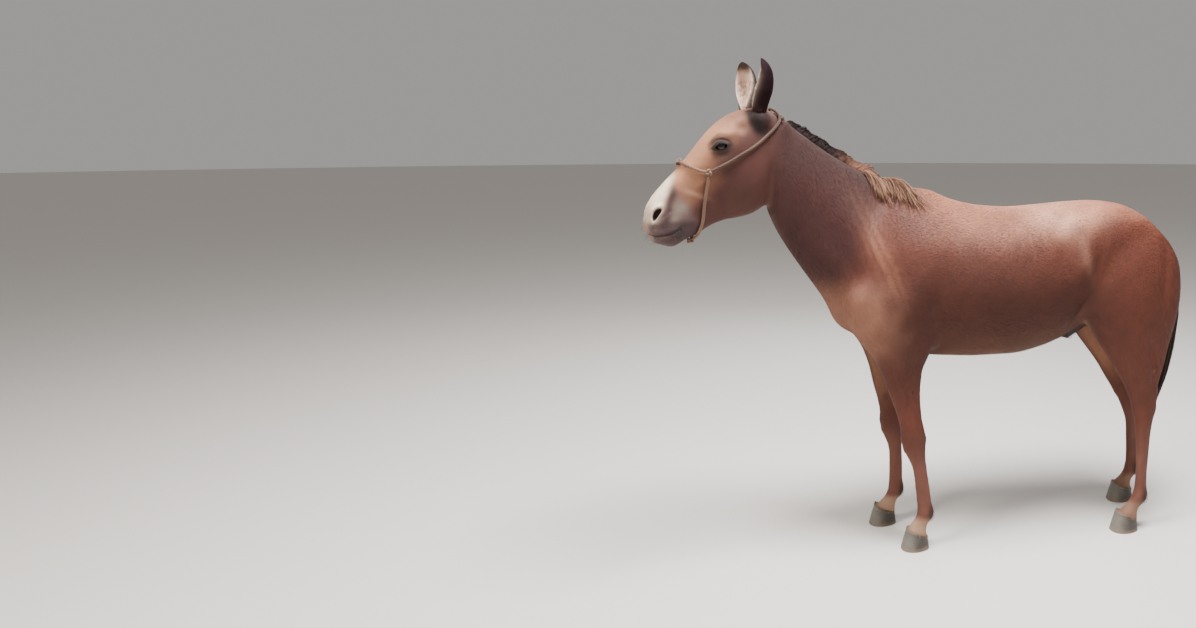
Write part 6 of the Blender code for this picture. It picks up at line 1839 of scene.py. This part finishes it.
rng = np.random.default_rng(51)
for region, name, at, out in spread_roots(hide, COAT_PIECES, rng):
    coated = ~is_bare(at)
    at, out = at[coated], out[coated]
    length, width, rise = np.array(tuft_sizes(at, out)) * rng.uniform(0.75, 1.25, (3, len(at)))
    tips = at + hair_lie(at, out) * length[:, None] + out * rise[:, None]
    paths = np.stack([at - out * TUFT_ROOT_DEPTH, tips], axis=1)
    tone = markings(at, out) * rng.uniform(0.78, 1.25, (len(at), 1))
    colours = tone[:, None] * np.array([0.9, 1.08])[None, :, None]
    roots = 0.01 + 0.98 * np.clip(np.stack(unwrapped(at, region), axis=-1), 0, 1)
    outs = np.broadcast_to(out[:, None], paths.shape)
    mesh = hair_mesh(name, paths, outs, width, width * 0.2, roots, colours)
    tuft = corners_of(mesh) // (len(mesh.vertices) // len(at))
    finished(name, mesh, coat, facing=out[tuft])


# Longer hairs at the coat's edges: inside and along the ears and round their feet, lashes on the upper lids,
# whiskers on lips and chin, and pale short hair that hangs over the top of each hoof.

FRINGE_STEPS = 4
EAR_HAIRS = 1500  # on each ear: a third along the rim, a third inside, a third round the foot
LASHES, WHISKERS, HOOF_HAIRS = 70, 90, 260
WHISKER_BROWN = (0.12, 0.08, 0.06)


def fringe(name, root, way, out, length, width, places, tone, droop=0.0):
    """Thin locks from roots along their way, bent to the ground by the droop, with places on the map."""
    t = np.linspace(0, 1, FRINGE_STEPS)[None, :, None]
    fall = np.array([0, 0, -1.0]) * droop
    paths = root[:, None] + (way[:, None] * t + fall * t**2) * length[:, None, None]
    outs = np.broadcast_to(out[:, None], paths.shape)
    colours = tone[:, None] * np.linspace(0.8, 1.15, FRINGE_STEPS)[None, :, None]
    return hair_mesh(name, paths, outs, width, width * 0.35, np.stack(places, axis=-1), colours)


def thirds(*values):
    """One value for each hair of an ear: the first of three for the first third, and so on."""
    return np.repeat(values, EAR_HAIRS // 3)


rng = np.random.default_rng(61)
short_hair = hair_material("fringe hair")
third = EAR_HAIRS // 3
for side, word in ((1, "left"), (-1, "right")):
    _, _, ear_up, ear_ahead, _ = ear_axes(side)
    spans = (0.03, 0.96), (0.03, 0.66), (0.0, 0.16)
    at = np.concatenate([rng.uniform(low, high, third) for low, high in spans])
    on_rim = np.abs(rng.integers(0, 2, third) - rng.uniform(0.0, 0.03, third))
    angle = np.concatenate([on_rim, rng.uniform(0.04, 0.96, third), rng.uniform(0.0, 1.0, third)])[:, None]
    root = ear_places(side, at, angle, thirds(0.0, EAR_WALL, 0.0)[:, None])[:, 0]
    apart = root - ear_places(side, at, np.array([[0.0, 0.5, 1.0]])).mean(1)
    outward = unit(apart - (apart @ ear_up)[:, None] * ear_up)
    way = ear_up * 0.9 + outward * thirds(-0.35, -0.5, 0.05)[:, None]
    way = way + ear_ahead * thirds(0.35, 0.3, 0.0)[:, None]
    way = unit(way + rng.normal(0, 0.14, (len(at), 3)))
    root[2 * third :] -= ear_up * rng.uniform(0.0, 0.014, (third, 1)) + outward[2 * third :] * 0.001
    length = rng.uniform(0.6, 1.2, len(at)) * thirds(0.009, 0.013, 0.017)
    length[:third] *= 1.2 - at[:third]
    tone = mixed(np.tile(EAR_DARK, (len(at), 1)), CHEEK_BROWN, thirds(0, 0, 0.5))
    tone = mixed(tone, EAR_RIM, thirds(0.9, 1.0, 0.0) * (1 - smooth_step(at, 0.7, 0.92)))
    tone = tone * rng.uniform(0.7, 1.25, (len(at), 1))
    facing_out = outward * thirds(1, -1, 1)[:, None]
    width = rng.uniform(0.001, 0.0019, len(at))
    mesh = fringe("ear hair", root, way, facing_out, length, width, (at, angle[:, 0]), tone)
    finished(f"ear_hair_{word}", mesh, short_hair)

lash_parts, whisker_parts = [], []
for side in (1, -1):
    middle, gaze, front, up = eye_axes(side)
    along_lid = np.linspace(-0.8, 0.85, LASHES)
    rise = LID_UPPER * (1 - np.abs(along_lid) ** 2) ** (1 / 1.48)
    over_lid = middle + front * (along_lid * LID_HALF_LENGTH)[:, None] + up * (rise + 0.0006)[:, None]
    on, _ = nearest(hide_tree, over_lid + gaze * 0.024)
    way = unit(gaze * 0.85 - up * 0.3 + front * (along_lid * 0.5)[:, None] + rng.normal(0, 0.08, (LASHES, 3)))
    map_places = 0.5 + 0.5 * along_lid, np.full(LASHES, 0.5 + 0.25 * side)
    lash_parts.append((on - gaze * 0.001, way, np.tile(up, (LASHES, 1)), *map_places))
    spot = rng.uniform(0, 1, (WHISKERS, 2))
    high = 1.25 + 0.05 * rng.uniform(0, 1, WHISKERS)
    chin = in_head(side * (0.01 + 0.045 * spot[:, 0]), -0.93 + 0.13 * spot[:, 1], high).T
    on, skin_out = nearest(hide_tree, chin)
    way = unit(skin_out + FORWARD * 0.35 + rng.normal(0, 0.2, (WHISKERS, 3)))
    whisker_parts.append((on - skin_out * 0.001, way, skin_out, spot[:, 1], 0.5 + 0.5 * side * spot[:, 0]))
root, way, out, *places = together(lash_parts)
length, width = rng.uniform(0.009, 0.014, len(root)), np.full(len(root), 0.0009)
lashes = fringe("lashes", root, way, out, length, width, places, np.tile(EYE_RING_AND_LID_SHADE, (len(root), 1)), 0.15)
finished("lashes", lashes, short_hair)
root, way, _, *places = together(whisker_parts)
out = unit(np.cross(way, (0.3, 0.5, 0.8)))
length, width = rng.uniform(0.014, 0.03, len(root)), np.full(len(root), 0.0006)
tone = np.tile(WHISKER_BROWN, (len(root), 1))
whiskers = fringe("whiskers", root, way, out, length, width, places, tone, 0.3)
finished("whiskers", whiskers, short_hair)

hoof_parts = []
for place_in, name in enumerate(HOOVES):
    coronet = hoof_rings(name)[-1]
    pick = rng.uniform(0, len(coronet), HOOF_HAIRS)
    low = pick.astype(int) % len(coronet)
    share = (pick - pick.astype(int))[:, None]
    root = coronet[low] * (1 - share) + coronet[(low + 1) % len(coronet)] * share
    out = unit((root - coronet.mean(0)) * (1, 1, 0))
    sunk, higher = rng.uniform(0.001, 0.004, (HOOF_HAIRS, 1)), rng.uniform(0.0, 0.006, (HOOF_HAIRS, 1))
    root = root - out * sunk + np.array([0, 0, 1]) * higher
    way = np.array([0, 0, -1.0]) + out * rng.uniform(0.22, 0.5, (HOOF_HAIRS, 1))
    way = unit(way + rng.normal(0, 0.12, (HOOF_HAIRS, 3)))
    hoof_parts.append((root, way, out, pick / len(coronet), np.full(HOOF_HAIRS, 0.125 + 0.25 * place_in)))
root, way, out, *places = together(hoof_parts)
tone = np.array(PASTERN_CREAM) * rng.uniform(0.6, 1.15, (len(root), 1))
length, width = rng.uniform(0.009, 0.017, len(root)), rng.uniform(0.0014, 0.0024, len(root))
feather = fringe("hoof hair", root, way, out, length, width, places, tone)
finished("hoof_hair", feather, short_hair)
